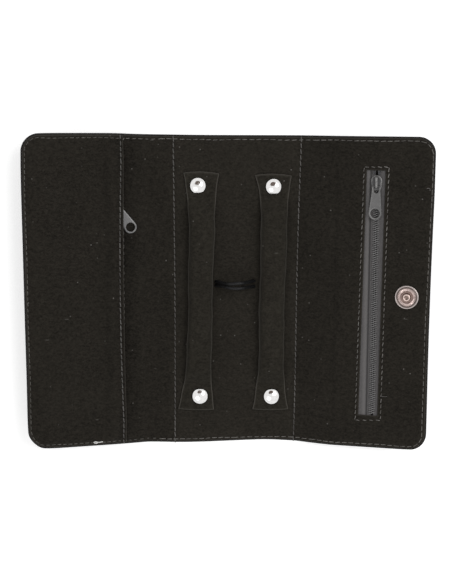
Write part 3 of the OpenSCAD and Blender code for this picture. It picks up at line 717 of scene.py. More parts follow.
def panel_height(s):
    """Lining height over the outer face: boards lift the panels, the spines stay thin."""
    centre = (CENTRE_TOP - SPINE_TOP) * (1 - ease((np.abs(s) - 34.7) / 2.4))
    left = (FLAP_TOP - SPINE_TOP) * ease((-s - LEFT_FLAP - 0.5) / 3.6)
    right = (FLAP_TOP - SPINE_TOP) * ease((s - RIGHT_FLAP - 0.5) / 3.6)
    return SPINE_TOP + centre + left + right


def lining_top(s, y):
    """Sewn flat along the case's edge, and carried by the boards further in."""
    carried = ease((case_edge(s, y) - 1.3) / 3.3)
    return SEWN_TOP + (panel_height(s) - SEWN_TOP) * carried + undulate(s, y, WAVES) * carried


def lining_under(s, y):
    return lining_top(s, y) - SUEDE


def lining_edge(s, y):
    return case_edge(s, y) - REVEAL


def curve_through(points, step=2.0):
    """A smooth line through (along, across) points, from one end of the case to the other."""
    y, s = np.array(sorted(points), float).T
    fit = np.polynomial.Polynomial.fit(y, s, min(4, len(points) - 1))
    rows = np.arange(y[0], y[-1] + step / 2, step)
    return np.stack([fit(rows), rows], -1)


# Rows of lock stitch, as lines on the flat case.
STITCH_INSET, STITCH_INSET_LEFT, STITCH_INSET_RIGHT = 2.3, 1.9, 2.7
FOLD_SEAMS = {
    ("left", "half"): [
        curve_through([(92.5, -37.3), (45, -36.85), (-14, -36.4), (-60, -36.4), (-92.5, -36.55)])
    ],
    ("right", "half"): [
        curve_through([(92.5, 39.4), (45, 38.15), (8, 37.5), (-28, 37.5), (-59, 37.15), (-92.5, 36.6)])
    ],
}
WINDOW_SEAM = np.array([(18.0, 75.8), (32.6, 76.0), (31.0, -76.5), (15.6, -77.4), (18.0, 75.8)]) + (RIGHT_FLAP, 0)
# On the right flap the row round the case comes nearer to the edge: how far, from foot to head.
RIGHT_APPROACH = ((-70, -45, 16, 60, 80, 94), (0.0, 0.1, 0.8, 1.4, 1.3, 0.6))


def edge_seam(low, high):
    """The row of stitches round the case, cut to one span of it."""
    left, right, half = CASE_LEFT + STITCH_INSET_LEFT, CASE_RIGHT - STITCH_INSET_RIGHT, CASE_HALF - STITCH_INSET
    ring = resample(outline(left, right, half, CASE_CORNER - 2, CASE_CORNER - 2.6), 1.5)
    # Guided by hand, the row wanders by a tenth of a millimetre or two.
    wobble = 0.16 * np.sin(ring[:, 0] * 0.13 + ring[:, 1] * 0.07) + 0.1 * np.sin(ring[:, 0] * 0.31 + 1.7)
    ring[:, 1] += np.sign(ring[:, 1]) * wobble * (np.abs(ring[:, 1]) > half - 1)
    ring[:, 0] += 0.12 * np.sin(ring[:, 1] * 0.09) * (np.abs(ring[:, 1]) < half - 8)
    ring[:, 0] += np.interp(ring[:, 1], *RIGHT_APPROACH) * ease((ring[:, 0] - right + 9) / 9)
    ring[:, 1] -= 0.35 * ease((ring[:, 1] - half + 9) / 9) * ease((ring[:, 0] - left - 8) / 9)
    keep = (ring[:, 0] >= low) & (ring[:, 0] <= high)
    start = int(np.argmin(keep))
    ring, keep = np.roll(ring, -start, axis=0), np.roll(keep, -start)
    runs = np.split(ring, np.flatnonzero(keep[1:] != keep[:-1]) + 1)
    return sorted((run for run in runs if low <= run[0][0] <= high), key=lambda run: run[0][1])


SEAMS = {side: edge_seam(*span) for side, (span, *_) in QUARTERS.items()}

WINDOW_MIDDLE, WINDOW_WIDTH, WINDOW_HALF, WINDOW_LEAN = RIGHT_FLAP + 24.05, 11.1, 74.0, math.radians(0.85)
# How much wider the window's right half gets towards its foot, where the slider comes.
WINDOW_ROOM = 0.1


def window_inset(s, y):
    """Distance outside the zip's window."""
    u = s - WINDOW_MIDDLE
    a = u * math.cos(WINDOW_LEAN) - y * math.sin(WINDOW_LEAN)
    b = u * math.sin(WINDOW_LEAN) + y * math.cos(WINDOW_LEAN)
    a = np.where(a > 0, a / (1 + WINDOW_ROOM * (1 - b / WINDOW_HALF) / 2), a)
    qx, qy = np.abs(a) - WINDOW_WIDTH / 2, np.abs(b) - WINDOW_HALF
    return np.hypot(np.maximum(qx, 0), np.maximum(qy, 0)) + np.minimum(np.maximum(qx, qy), 0)


def window_corner(a, b):
    u, v = a * WINDOW_WIDTH / 2 * (1 + WINDOW_ROOM * (a > 0) * (b < 0)), b * WINDOW_HALF
    c, s = math.cos(WINDOW_LEAN), math.sin(WINDOW_LEAN)
    return WINDOW_MIDDLE + u * c + v * s, -u * s + v * c


WINDOW = [window_corner(a, b) for a, b in ((-1, -1), (1, -1), (1, 1), (-1, 1))]
LINING_SPANS = {side: span for side, (span, *_) in QUARTERS.items()}
LINING_SPANS["left", "wing"] = (-68.3, LEFT_SEAM)
LINING_SPANS["right", "wing"] = (RIGHT_SEAM, CASE_RIGHT - REVEAL)


def windowed_edge(s, y):
    return np.minimum(lining_edge(s, y), window_inset(s, y))


for side, (low, high) in LINING_SPANS.items():
    across, half = side
    windowed = side == ("right", "wing")
    rim = outline(low, high, LINING_HALF, 0, CASE_CORNER - REVEAL if windowed else 0)
    holes = [WINDOW] if windowed else []
    seams = [line for line in SEAMS[side] if line[:, 0].min() > low - 1] + FOLD_SEAMS.get(side, [])
    if windowed:
        seams.append(resample(WINDOW_SEAM, 1.5, closed=False))
    piece = lay_sheet(
        f"suede_{across}_{half}", rim, windowed_edge if windowed else lining_edge, lining_top, lining_under, suede,
        seams=seams, holes=holes, step=1.7, fold=QUARTERS[side][1],
    )
    linings = ["centre"] if half == "half" else [f"{across}_spine", across]
    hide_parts(*(f"lining_{part}" for part in linings))
    cross_blend(piece)

# ---- left pocket ----
# A suede panel over the left flap, sewn on three sides. Its inner edge is a raised lip that hides a zip.

# The lip's edge and its stitches as bowed lines: distance out from the fold, slant and bow.
POCKET_EDGE = (15.75, 0.004, -1.25e-4)
POCKET_STITCH = (18.15, 0.0029, -2.15e-4)
LIP_UNDER = 6.0
LIP_DROP, LIP_FLAT, LIP_FOOT = 0.7, 22.3, 27.8
LIP_SEWN, LIP_RAMP = 2.0, 15.0
POCKET_LOW = 2.4
POCKET_LAP = -70.5


def bow(coefficients, y):
    a, b, c = coefficients
    return a + b * y + c * y * y


def lip_under(u, y):
    """Underside of the pocket: lifted over the zip, down on the flap beyond it."""
    t = ease((LINING_HALF - LIP_SEWN - np.abs(y)) / LIP_RAMP)
    top = FLAP_TOP + 0.05 + (LIP_UNDER - FLAP_TOP - 0.05) * t
    line = top - LIP_DROP * t * (1 - ease((u - 14.0) / 3.2))
    down = ease((u - LIP_FLAT) / (LIP_FOOT - LIP_FLAT))
    return line + (POCKET_LOW - line) * down


def pocket_under(s, y):
    u = -s - LEFT_FLAP
    t = ease((case_edge(s, y) - 1.3) / 3.6)
    sewn = SEWN_TOP + 0.03 + (LEATHER - SEWN_TOP) * ease((u - 15.5) / 4)
    soft = 0.35 * undulate(s * 1.4, y * 1.3, 1.0) * ease((u - 14) / 20)
    soft = soft + 0.12 * np.sin(y * 0.16 + 0.6 * np.sin(y * 0.05))
    return sewn + (lip_under(u, y) + np.maximum(soft, -0.12) * 0.6 - sewn) * t


def pocket_top(s, y):
    return pocket_under(s, y) + SUEDE


def pocket_edge(s, y):
    return np.minimum(lining_edge(s, y), -s - LEFT_FLAP - bow(POCKET_EDGE, y))


def bowed_line(coefficients, low, high):
    return [(-LEFT_FLAP - bow(coefficients, y), y) for y in np.arange(low, high, 1.5)]


outer_side = [p for p in outline(CASE_LEFT + REVEAL, -60, LINING_HALF, CASE_CORNER - REVEAL, 0) if p[0] < -70]
pocket_rim = bowed_line(POCKET_EDGE, -LINING_HALF, LINING_HALF + 0.1) + outer_side
pocket_seam = np.array(bowed_line(POCKET_STITCH, -91.5, 91.6))
pocket_runs = [line[line[:, 0] < POCKET_LAP] for line in SEAMS["left", "wing"]]
pocket = lay_sheet(
    "pocket_panel", pocket_rim, pocket_edge, pocket_top, pocket_under, suede,
    seams=[pocket_seam] + pocket_runs, step=1.7, cut=0.4,
)
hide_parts("pocket_left")
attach(pocket, "left_flap")

# ---- stitching ----
# Grey polyester thread, sunk a little into the suede; the row round the edge also shows on the back.

# Pitch, stitch length and thread radius of the row round the edge, the short rows and the fold rows.
EDGE_ROW, SHORT_ROW, FOLD_ROW = (3.9, 3.6, 0.25), (3.4, 2.85, 0.25), (3.5, 3.6, 0.36)
STITCH_SIDES, STITCH_RINGS, STITCH_DIP = 7, 9, 0.34
ON_TOP, SUNK = -GROOVE + 0.10, 0.12
WINDOW_CORNER_GAP = 1.6


def thread_material(name, dark, light):
    material, tree, shader, where = principled(name, Roughness=0.7, Specular_IOR_Level=0.25, Sheen_Weight=0.2)
    twist, worn = noise(tree, where, 2400.0), noise(tree, where, 90.0, 4.0, 0.6)
    strands = spread(tree, sums(tree, "MULTIPLY", twist, worn), 0.12, 0.38)
    finish(tree, shader, blend_colours(tree, strands, dark, light), None, twist, 0.0001, 0.6)
    return material


thread = thread_material("grey_thread", (0.05, 0.046, 0.04), (0.19, 0.18, 0.165))
fold_thread = thread_material("fold_thread", (0.036, 0.033, 0.030), (0.125, 0.118, 0.110))
rubbed_thread = thread_material("rubbed_thread", (0.035, 0.032, 0.027), (0.125, 0.118, 0.105))
white_thread = thread_material("white_thread", (0.45, 0.44, 0.42), (0.80, 0.79, 0.77))


def geometry_tree(name, **inputs):
    """A tree that sets a part on a drawn base: its named inputs, as a value or a socket's kind."""
    tree = bpy.data.node_groups.new(name, "GeometryNodeTree")
    tree.interface.new_socket("Geometry", in_out="INPUT", socket_type="NodeSocketGeometry")
    for label, value in inputs.items():
        kind = value if isinstance(value, str) else "Float"
        socket = tree.interface.new_socket(label.replace("_", " "), in_out="INPUT", socket_type=f"NodeSocket{kind}")
        if value != kind:
            socket.default_value = value
    tree.interface.new_socket("Geometry", in_out="OUTPUT", socket_type="NodeSocketGeometry")
    return tree, tree.nodes.new("NodeGroupInput").outputs


def set_parts(tree, given, points, rotation, scale=None):
    """Ends a tree: one part on each point, made real and given its material."""
    part = node(tree, "GeometryNodeObjectInfo", {"Object": given["Part"]}).outputs["Geometry"]
    sockets = {"Points": points, "Instance": part, "Rotation": rotation, "Scale": scale}
    many = node(tree, "GeometryNodeInstanceOnPoints", sockets)
    real = node(tree, "GeometryNodeRealizeInstances", {0: many.outputs[0]})
    coated = node(tree, "GeometryNodeSetMaterial", {"Geometry": real.outputs[0], "Material": given["Material"]})
    node(tree, "NodeGroupOutput", {"Geometry": coated.outputs[0]})


def about_z(tree, angle):
    turn = node(tree, "ShaderNodeCombineXYZ", {"Z": angle})
    return node(tree, "FunctionNodeEulerToRotation", {0: turn.outputs[0]}).outputs[0]


def random_between(tree, low, high, seed):
    return node(tree, "FunctionNodeRandomValue", {2: low, 3: high, "Seed": seed}, data_type="FLOAT").outputs[1]


# Sets one small part again and again along drawn lines, turned to the line and to its "up".
row_tree, row_in = geometry_tree(
    "row_along_lines", Part="Object", Pitch=0.003, Slant=0.0, Turn_Spread=0.0, Size_Spread=0.0, Material="Material"
)
to_curve = node(row_tree, "GeometryNodeMeshToCurve", {"Mesh": row_in["Geometry"]})
evenly = node(
    row_tree, "GeometryNodeResampleCurve", {"Curve": to_curve.outputs[0], "Length": row_in["Pitch"]}, mode="LENGTH"
)
up = node(row_tree, "GeometryNodeInputNamedAttribute", {"Name": "up"}, data_type="FLOAT_VECTOR")
tangent = node(row_tree, "GeometryNodeInputTangent")
aim = node(
    row_tree, "FunctionNodeAxesToRotation",
    {"Primary Axis": up.outputs["Attribute"], "Secondary Axis": tangent.outputs[0]},
    primary_axis="Z", secondary_axis="X",
)
sway = random_between(
    row_tree, sums(row_tree, "MULTIPLY", row_in["Turn Spread"], -1), row_in["Turn Spread"], seed=7
)
rotate = node(
    row_tree, "FunctionNodeRotateRotation",
    {0: aim.outputs[0], 1: about_z(row_tree, sums(row_tree, "ADD", sway, row_in["Slant"]))},
    rotation_space="LOCAL",
)
size = random_between(
    row_tree, sums(row_tree, "SUBTRACT", 1.0, row_in["Size Spread"]),
    sums(row_tree, "ADD", 1.0, row_in["Size Spread"]), seed=11,
)
set_parts(row_tree, row_in, evenly.outputs[0], rotate.outputs[0], size)


def grow(tree, base, name, **values):
    """Runs a geometry tree on a base object and keeps the result as a plain mesh piece."""
    modifier = base.modifiers.new("rows", "NODES")
    modifier.node_group = tree
    for item in tree.interface.items_tree:
        label = item.name.replace(" ", "_")
        if item.in_out == "INPUT" and label in values:
            modifier[item.identifier] = values[label]
    graph = bpy.context.evaluated_depsgraph_get()
    graph.update()
    mesh = bpy.data.meshes.new_from_object(base.evaluated_get(graph))
    mesh.name = name
    mesh.polygons.foreach_set("use_smooth", [True] * len(mesh.polygons))
    bpy.data.objects.remove(base)
    return add_object(name, mesh)


def template(name, vertices, faces):
    """A small mesh that a tree repeats, from points in mm; it isn't a piece itself."""
    return bpy.data.objects.new(name, plain_mesh(name, [tuple(c * MM for c in v) for v in vertices], faces=faces))


def drawn_lines(name, lines):
    """lines: (points, ups) in metres, as loose polylines with an "up" at each point."""
    points, ups, edges = [], [], []
    for line, above in lines:
        edges += [(len(points) + k, len(points) + k + 1) for k in range(len(line) - 1)]
        points += [tuple(p) for p in line]
        ups += [tuple(v) for v in above]
    mesh = plain_mesh(name, points, edges)
    layer = mesh.attributes.new("up", "FLOAT_VECTOR", "POINT")
    layer.data.foreach_set("vector", np.array(ups, np.float32).ravel())
    return add_object(name, mesh)


def on_surface(line, height, lift, under=False):
    """A line on the flat case, laid on a surface, with the direction that points away from it."""
    s, y = resample(line, 0.8, closed=False).T
    h = height(s, y) + lift
    points = place(s, y, h)
    ups = place(s, y, h + 1) - points
    ups /= np.linalg.norm(ups, axis=1)[:, None]
    return points, -ups if under else ups


def rings_to_faces(rings, sides):
    """The faces between rings of points that follow one another."""
    return [
        (j * sides + k, (j + 1) * sides + k, (j + 1) * sides + (k + 1) % sides, j * sides + (k + 1) % sides)
        for j in range(rings - 1)
        for k in range(sides)
    ]


def capped(rings, sides, flip=False):
    """Those faces and the two ends; flip turns them all over."""
    last = (rings - 1) * sides
    walls = rings_to_faces(rings, sides)
    ends = [tuple(range(sides)), tuple(last + k for k in reversed(range(sides)))]
    if flip:
        return [(a, d, c, b) for a, b, c, d in walls] + [tuple(reversed(end)) for end in ends]
    return walls + ends


def around(sides):
    return [2 * math.pi * k / sides for k in range(sides)]


def stitch_template(name, length, radius):
    """One stitch: a bead of thread, its ends bent down into their holes."""
    vertices = []
    for k in range(STITCH_RINGS):
        t = k / (STITCH_RINGS - 1) * 2 - 1
        r = radius * math.sqrt(max(0.0, 1 - abs(t) ** 4)) * (0.92 + 0.08 * math.cos(t * 9)) + 0.004
        vertices += [
            (t * length / 2, r * math.cos(a), r * math.sin(a) * 0.85 - STITCH_DIP * t ** 4)
            for a in around(STITCH_SIDES)
        ]
    return template(name, vertices, capped(STITCH_RINGS, STITCH_SIDES))


STITCHES = {
    row: stitch_template(name, *row[1:])
    for name, row in (("one_stitch", EDGE_ROW), ("short_stitch", SHORT_ROW), ("fold_stitch", FOLD_ROW))
}


def sew(name, lines, row=EDGE_ROW, slant=0.0, material=thread):
    return grow(
        row_tree, drawn_lines(f"{name}_lines", lines), name, Part=STITCHES[row], Pitch=row[0] * MM, Slant=slant,
        Turn_Spread=0.07, Size_Spread=0.1, Material=material,
    )


def through(line):
    """A row that shows on the lining and on the back."""
    return [on_surface(line, lining_top, ON_TOP), on_surface(line, leather_under, SUNK, under=True)]


for side in QUARTERS:
    lines = []
    for line in SEAMS[side]:
        # On the left flap the pocket covers the lining, and carries that part of the row.
        front = line[line[:, 0] > -69] if side == ("left", "wing") else line
        if len(front) > 2:
            lines.append(on_surface(front, lining_top, ON_TOP))
        lines.append(on_surface(line, leather_under, SUNK, under=True))
    cross_blend(sew(f"stitches_{side[0]}_{side[1]}", lines, slant=0.05))
    for line in FOLD_SEAMS.get(side, []):
        cross_blend(sew(f"stitches_{side[0]}_fold", through(line), FOLD_ROW, 0.13, fold_thread))

window_rows = []
for a, b in zip(WINDOW_SEAM[:-1], WINDOW_SEAM[1:]):
    back = (b - a) / np.hypot(*(b - a)) * WINDOW_CORNER_GAP
    window_rows.append(on_surface(np.array([a + back, b - back]), lining_top, ON_TOP))
lip_row = [on_surface(pocket_seam, pocket_top, ON_TOP)]
pocket_rows = [on_surface(line, pocket_top, ON_TOP) for line in pocket_runs]
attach(sew("stitches_window", window_rows, SHORT_ROW, -0.16), "right_flap")
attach(sew("stitches_lip", lip_row, FOLD_ROW, 0.1, fold_thread), "left_flap")
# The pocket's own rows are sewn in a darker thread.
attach(sew("stitches_pocket", pocket_rows, SHORT_ROW, 0.05, rubbed_thread), "left_flap")

# ---- pen dividers ----
# Two foam rolls under suede straps. A strap lies flat under its rivets and arches over the foam
# between them; its cut edges show a little paler than the nap.

DIVIDER_X, DIVIDER_Y, DIVIDER_HALF, LEFT_DIVIDER_LEAN = 21.9, -0.7, 72.7, 0.9
STRAP, END_HALF, RIDGE_HALF, RIDGE_HEIGHT = 1.2, 10.65, 8.0, 7.6
RIDGE_SHOULDER, RIDGE_RAMP, STRAP_TAPER = 45.75, 13.0, 28.0
RIVET_PLACES = ((-22.6, 63.8), (-21.2, -65.0), (22.9, 63.3), (22.8, -65.2))
RIVET_RADIUS, RIVET_DENT = 4.7, 0.42
ARCH_POINTS, STRAP_ROW, STRAP_END_ROWS = 46, 0.9, (0, 0.12, 0.4)
PUCKER_AT, CREASE_AT = 53.5, 57.8
# How far a strap's two edges wander to the right, as (place along it, left edge, right edge).
STRAP_DRIFT = {
    -1: (
        (-73, -0.6, -0.4), (-63, -0.4, -0.3), (-54, 0.5, -0.2), (-49, 1.1, 0.0), (-37, 1.1, 0.6),
        (-25, 1.0, 0.3), (-6, 1.4, -0.3), (18, 1.2, 0.7), (37, 1.6, 1.3), (45, 1.8, 1.1), (50, 1.2, 0.6),
        (65, 0.6, 0.5), (72, 0.0, 0.0),
    ),
    1: (
        (-67, 0.0, 0.0), (-54, 0.7, 0.4), (-50, 0.6, 0.0), (-25, 0.7, 0.0), (-6, 1.2, 0.6), (18, 1.5, 1.2),
        (37, 1.7, 1.4), (50, 1.3, 1.4), (60, 1.4, 1.2), (72, 0.9, 0.6),
    ),
}
# How much is trimmed off each strap's head, and where its slow waves start.
STRAP_TRIM = {-1: 0.6, 1: 1.8}
STRAP_PHASE = {-1: 0.7, 1: 2.9}

strap_suede = suede_material("strap_suede", (0.0085, 0.0074, 0.0058), (0.0335, 0.0300, 0.0235), flat=False)


def hump(x, width):
    return math.exp(-((x / width) ** 2))


def rotated(x, y, angle):
    return x * math.cos(angle) - y * math.sin(angle), x * math.sin(angle) + y * math.cos(angle)


def strap_row(side, y, rivets):
    """One row of a strap's points across it, in mm, and how much of its cut edge shows at each."""
    phase = STRAP_PHASE[side]
    near_end = DIVIDER_HALF - abs(y)
    # Its ends are cut square and lie flat; between the rivets it draws in and arches over the foam.
    arched = float(ease((RIDGE_SHOULDER + RIDGE_RAMP - abs(y)) / RIDGE_RAMP))
    draw = min(1.0, near_end / STRAP_TAPER)
    shrink = 0.45 * (1 - math.sqrt(1 - (1 - min(1, near_end / 0.5)) ** 2))
    width = END_HALF + (RIDGE_HALF - END_HALF) * (1 - (1 - draw) ** 1.35) + 0.3 * hump(near_end, 3.0)
    height = STRAP + (RIDGE_HEIGHT - STRAP) * arched
    height *= 1 + 0.035 * math.sin(0.11 * y + phase) * arched + 0.02 * math.sin(0.31 * y + phase * 3) * arched
    power = 0.18 + 0.40 * arched
    bowed = 0.35 * math.cos(y * 0.045 + phase) * arched
    left_drift, right_drift = (stray([(at, drifts[k]) for at, *drifts in STRAP_DRIFT[side]], y) for k in (0, 1))
    left = width + 0.22 * math.sin(0.145 * y + phase) + 0.1 * math.sin(0.4 * y + phase * 2) - left_drift
    right = width + 0.22 * math.sin(0.125 * y + phase + 2) + 0.1 * math.sin(0.37 * y + phase) + right_drift
    if near_end < 0.9:
        left, right = left - shrink * 0.6, right - shrink * 0.6
    # Puckers run out from the rivets, a crease crosses the foot of the arch, and each cap sinks in.
    points, mask = [], []
    for k in range(ARCH_POINTS + 1):
        a = math.pi * (1 - k / ARCH_POINTS)
        c, n = math.cos(a), math.sin(a)
        across = math.copysign(abs(c) ** power, c) * (right if c > 0 else left) + bowed
        puckers = hump(abs(y) - PUCKER_AT, 5.0) * math.cos(across * 1.15 + phase + 0.1 * y)
        crease = hump(abs(y) - CREASE_AT - 0.05 * across, 0.9)
        up = height * abs(n) ** power
        up += abs(n) ** 0.7 * (0.28 * puckers - 0.3 * crease - shrink * min(1.0, height / STRAP))
        for x_rivet, y_rivet in rivets:
            beyond = max(0.0, math.hypot(across - x_rivet, y - y_rivet) - RIVET_RADIUS + 0.4)
            up -= abs(n) ** 0.7 * RIVET_DENT * hump(beyond, 1.3)
        end_bow = 0.5 * hump(near_end, 6.0) * math.copysign(1, y) * (1 - (across / END_HALF) ** 2)
        bent = y + end_bow * (2.0 if y > 0 else 1.1) - STRAP_TRIM[side] * float(ease((y - 64) / 8))
        points.append((across, bent, CENTRE_TOP + 0.05 + max(up, 0.0)))
        border = min(abs(across - bowed + left), abs(right - across + bowed), near_end + 0.12)
        mask.append(0.85 * hump(border, 0.52) * (1 - 0.45 * arched))
    return points, mask


def divider(name, side):
    """side -1 is the left divider, 1 the right one."""
    rows = [
        *(d - DIVIDER_HALF for d in STRAP_END_ROWS),
        *np.arange(-DIVIDER_HALF + 0.9, DIVIDER_HALF - 0.8, STRAP_ROW),
        *(DIVIDER_HALF - d for d in reversed(STRAP_END_ROWS)),
    ]
    turn = math.radians(LEFT_DIVIDER_LEAN if side < 0 else 0)
    rivets = [rotated(x - side * DIVIDER_X, y - DIVIDER_Y, turn) for x, y in RIVET_PLACES if x * side > 0]
    placed, mask = [], []
    for y in rows:
        points, shown = strap_row(side, y, rivets)
        for across, along, up in points:
            dx, dy = rotated(across, along, -turn)
            placed.append(((side * DIVIDER_X + dx) * MM, (DIVIDER_Y + dy) * MM, up * MM))
        mask += shown
    piece = new_piece(name, placed, capped(len(rows), ARCH_POINTS + 1, flip=True), strap_suede)
    mark(piece, "cut_edge", mask)
    return piece


for side, word in ((-1, "left"), (1, "right")):
    piece = divider(f"{word}_divider", side)
    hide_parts(f"{word}_divider_strap", f"{word}_divider_core")
    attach(piece, "centre")

# ---- rivets ----
# Chromed double-cap rivets: a domed cap with a curled rim, crimped on its post through strap and board.

CAP_PROFILE = (
    (0.0, 2.4), (0.72, 2.365), (1.45, 2.26), (2.2, 2.085), (2.88, 1.845), (3.5, 1.54), (4.02, 1.21),
    (4.4, 0.95), (4.66, 0.74), (4.84, 0.54), (4.92, 0.32), (4.88, 0.1), (4.7, -0.02), (3.8, -0.04),
)
CAP_TURN = 1.3

chrome, chrome_tree, chrome_shader, chrome_at = principled("rivet_chrome", Metallic=1.0)
smear = noise(chrome_tree, chrome_at, 260.0, 3.0)
dulled = spread(chrome_tree, noise(chrome_tree, chrome_at, 900.0), 0.4, 0.75)
finish(
    chrome_tree, chrome_shader, blend_colours(chrome_tree, dulled, (0.83, 0.82, 0.81), (0.72, 0.71, 0.70)),
    spread(chrome_tree, smear, 0.35, 0.7, 0.07, 0.17), smear, 0.00004, 0.35,
)


def turned(profile, sides=48):
    """A closed turned shape from a profile of (radius, height), from the top's middle outwards and down."""
    rings = [p for p in profile if p[0] > 1e-6]
    vertices = [(r * math.cos(a), r * math.sin(a), z) for r, z in rings for a in around(sides)]
    faces = rings_to_faces(len(rings), sides)
    for first, (_, height) in ((0, profile[0]), ((len(rings) - 1) * sides, profile[-1])):
        middle = len(vertices)
        vertices.append((0.0, 0.0, height))
        for a, b in ring_edges(first, sides):
            faces.append((middle, b, a) if first else (middle, a, b))
    return vertices, faces


# Sets one small part on each point of a mesh, upright, each turned further than the one before.
set_tree, set_in = geometry_tree("one_on_each_point", Part="Object", Turn=CAP_TURN, Material="Material")
which = node(set_tree, "GeometryNodeInputIndex").outputs[0]
turned_on = about_z(set_tree, sums(set_tree, "MULTIPLY", which, set_in["Turn"]))
set_parts(set_tree, set_in, set_in["Geometry"], turned_on)

one_cap = template("one_cap", *turned(CAP_PROFILE))
cap_feet = [(x * MM, y * MM, (CENTRE_TOP + STRAP - 0.02) * MM) for x, y in RIVET_PLACES]
cap_points = add_object("cap_points", plain_mesh("cap_points", cap_feet))
caps = grow(set_tree, cap_points, "rivet_domes", Part=one_cap, Turn=CAP_TURN, Material=chrome)
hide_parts("rivet_caps")
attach(caps, "centre")

# ---- pen elastic ----
# Two braided elastic strands that come up through the lining, cross over the pen and go down again.

STRAND, STRAND_GAP, ELASTIC_Y, ELASTIC_REACH, PEN_RADIUS = 1.0, 2.7, 4.6, 11.4, 5.2
STRAND_TUCK = 0.5
BRAID_PITCH, BRAID_RELIEF = 1.5, 0.07

elastic, elastic_tree, elastic_shader, elastic_at = principled("black_elastic", flat=True, Specular_IOR_Level=0.22)
braid = node(
    elastic_tree, "ShaderNodeTexWave", {"Vector": elastic_at, "Scale": 560.0, "Distortion": 1.5},
    wave_type="BANDS", bands_direction="DIAGONAL",
).outputs[1]
finish(
    elastic_tree, elastic_shader,
    blend_colours(elastic_tree, braid, (0.0035, 0.0035, 0.0037), (0.0105, 0.0105, 0.011)),
    spread(elastic_tree, braid, 0.0, 1.0, 0.34, 0.5), braid, 0.00006, 0.7,
)


def strand_path():
    """(x, z) from the left hole over the pen's place to the right one."""
    loop = PEN_RADIUS + STRAND
    reach = math.hypot(ELASTIC_REACH, PEN_RADIUS)
    tilt = math.acos(loop / reach) - math.atan2(PEN_RADIUS, ELASTIC_REACH)
    leg = math.sqrt(reach * reach - loop * loop) + STRAND_TUCK
    middle = CENTRE_TOP + PEN_RADIUS
    foot = (loop * math.cos(tilt) + leg * math.sin(tilt), middle + loop * math.sin(tilt) - leg * math.cos(tilt))
    over = [(loop * math.cos(a), middle + loop * math.sin(a)) for a in np.linspace(math.pi - tilt, tilt, 40)]
    return resample([(-foot[0], foot[1]), *over, foot], 0.22, closed=False)


def sweep(path, radius, sides=14, relief=None):
    """A closed tube along points in mm, with rings square to the path; returns vertices, faces, uv."""
    path = np.asarray(path, float)
    along = np.gradient(path, axis=0)
    along /= np.linalg.norm(along, axis=1)[:, None]
    far = np.concatenate([[0], np.cumsum(np.linalg.norm(np.diff(path, axis=0), axis=1))])
    side = np.array([0.0, 1.0, 0.0]) if abs(along[len(path) // 2][1]) < 0.9 else np.array([1.0, 0.0, 0.0])
    vertices, uv = [], []
    for at, p, t in zip(far, path, along):
        side = side - (side @ t) * t
        side /= np.linalg.norm(side)
        other = np.cross(t, side)
        for a in around(sides):
            out = radius + (relief(at, a) if relief else 0)
            vertices.append(p + out * (math.cos(a) * side + math.sin(a) * other))
            uv.append((at, a * radius))
    return vertices, [tuple(reversed(f)) for f in capped(len(path), sides)], uv


def braided(far, a):
    phase = 2 * math.pi * far / BRAID_PITCH
    return BRAID_RELIEF * math.sin(4 * a + phase) * math.sin(4 * a - phase)


def gather(parts):
    """Joins closed shells, each of points, faces and one value a point, into one."""
    points, faces, values = [], [], []
    for p, f, v in parts:
        faces += [tuple(len(points) + i for i in face) for face in f]
        points += [tuple(q) for q in p]
        values += list(v)
    return points, faces, values


def strand(row, sway):
    middle = ELASTIC_Y + row * STRAND_GAP / 2
    line = [
        (x, middle + sway * math.sin(x * 0.18) + 0.12 * math.sin(x * 0.5 + row), z) for x, z in strand_path()
    ]
    return sweep(line, STRAND, sides=20, relief=braided)


vertices, faces, uv = gather([strand(-1, -0.25), strand(1, 0.3)])
piece = new_piece("pen_elastic", np.array(vertices) * MM, faces, elastic)
unroll(piece, uv)
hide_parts("elastic_strands")
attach(piece, "centre")

# ---- zip tapes ----
# Woven polyester tape, two to a zip. A sewn ridge runs beside the coil, and flat ribs beyond it.

TAPE_Z, TAPE, TAPE_GAP, TAPE_WIDTH, TAPE_ROW = 2.0, 0.35, 0.7, 9.0, 4.0
RIGHT_CHAIN, LEFT_CHAIN, CHAIN_LOW = 25.6, 18.6, -73.8
TAPE_LOW, RIGHT_TAPE_TOP = -78.0, 78.0
TAPE_RIBS = (
    (0.0, 0.02), (0.35, 0.05), (1.6, 0.05), (1.9, 0.14), (2.5, 0.16), (2.75, 0.04), (3.3, 0.03), (3.6, 0.09),
    (4.5, 0.1), (4.8, 0.03), (6.4, 0.03), (7.6, 0.05), (9.0, 0.0),
)

weave, weave_in = surface_group("woven_tape", Threads=1500.0, Dark=(0, 0, 0), Light=(0.2, 0.2, 0.2))
split = node(weave, "ShaderNodeSeparateXYZ", {0: weave_in["Vector"]}).outputs
# Two crossing waves: so many threads a metre across the cloth, and two thirds as many along it.
waves = [
    sums(weave, "SINE", sums(weave, "MULTIPLY", split[axis], sums(weave, "MULTIPLY", weave_in["Threads"], count)))
    for axis, count in ((0, 6.2832), (1, 4.1))
]
crossing = sums(weave, "MULTIPLY", *waves)
lumps = noise(weave, weave_in["Vector"], 380.0, 3.0)
cloth_tone = sums(
    weave, "ADD", spread(weave, crossing, -1.0, 1.0, 0.25, 0.65),
    sums(weave, "MULTIPLY", spread(weave, lumps, 0.3, 0.7), 0.35), clamp=True,
)
node(weave, "NodeGroupOutput", {
    "Color": blend_colours(weave, cloth_tone, weave_in["Dark"], weave_in["Light"]),
    "Roughness": spread(weave, lumps, 0.3, 0.7, 0.72, 0.88),
    "Height": crossing,
})


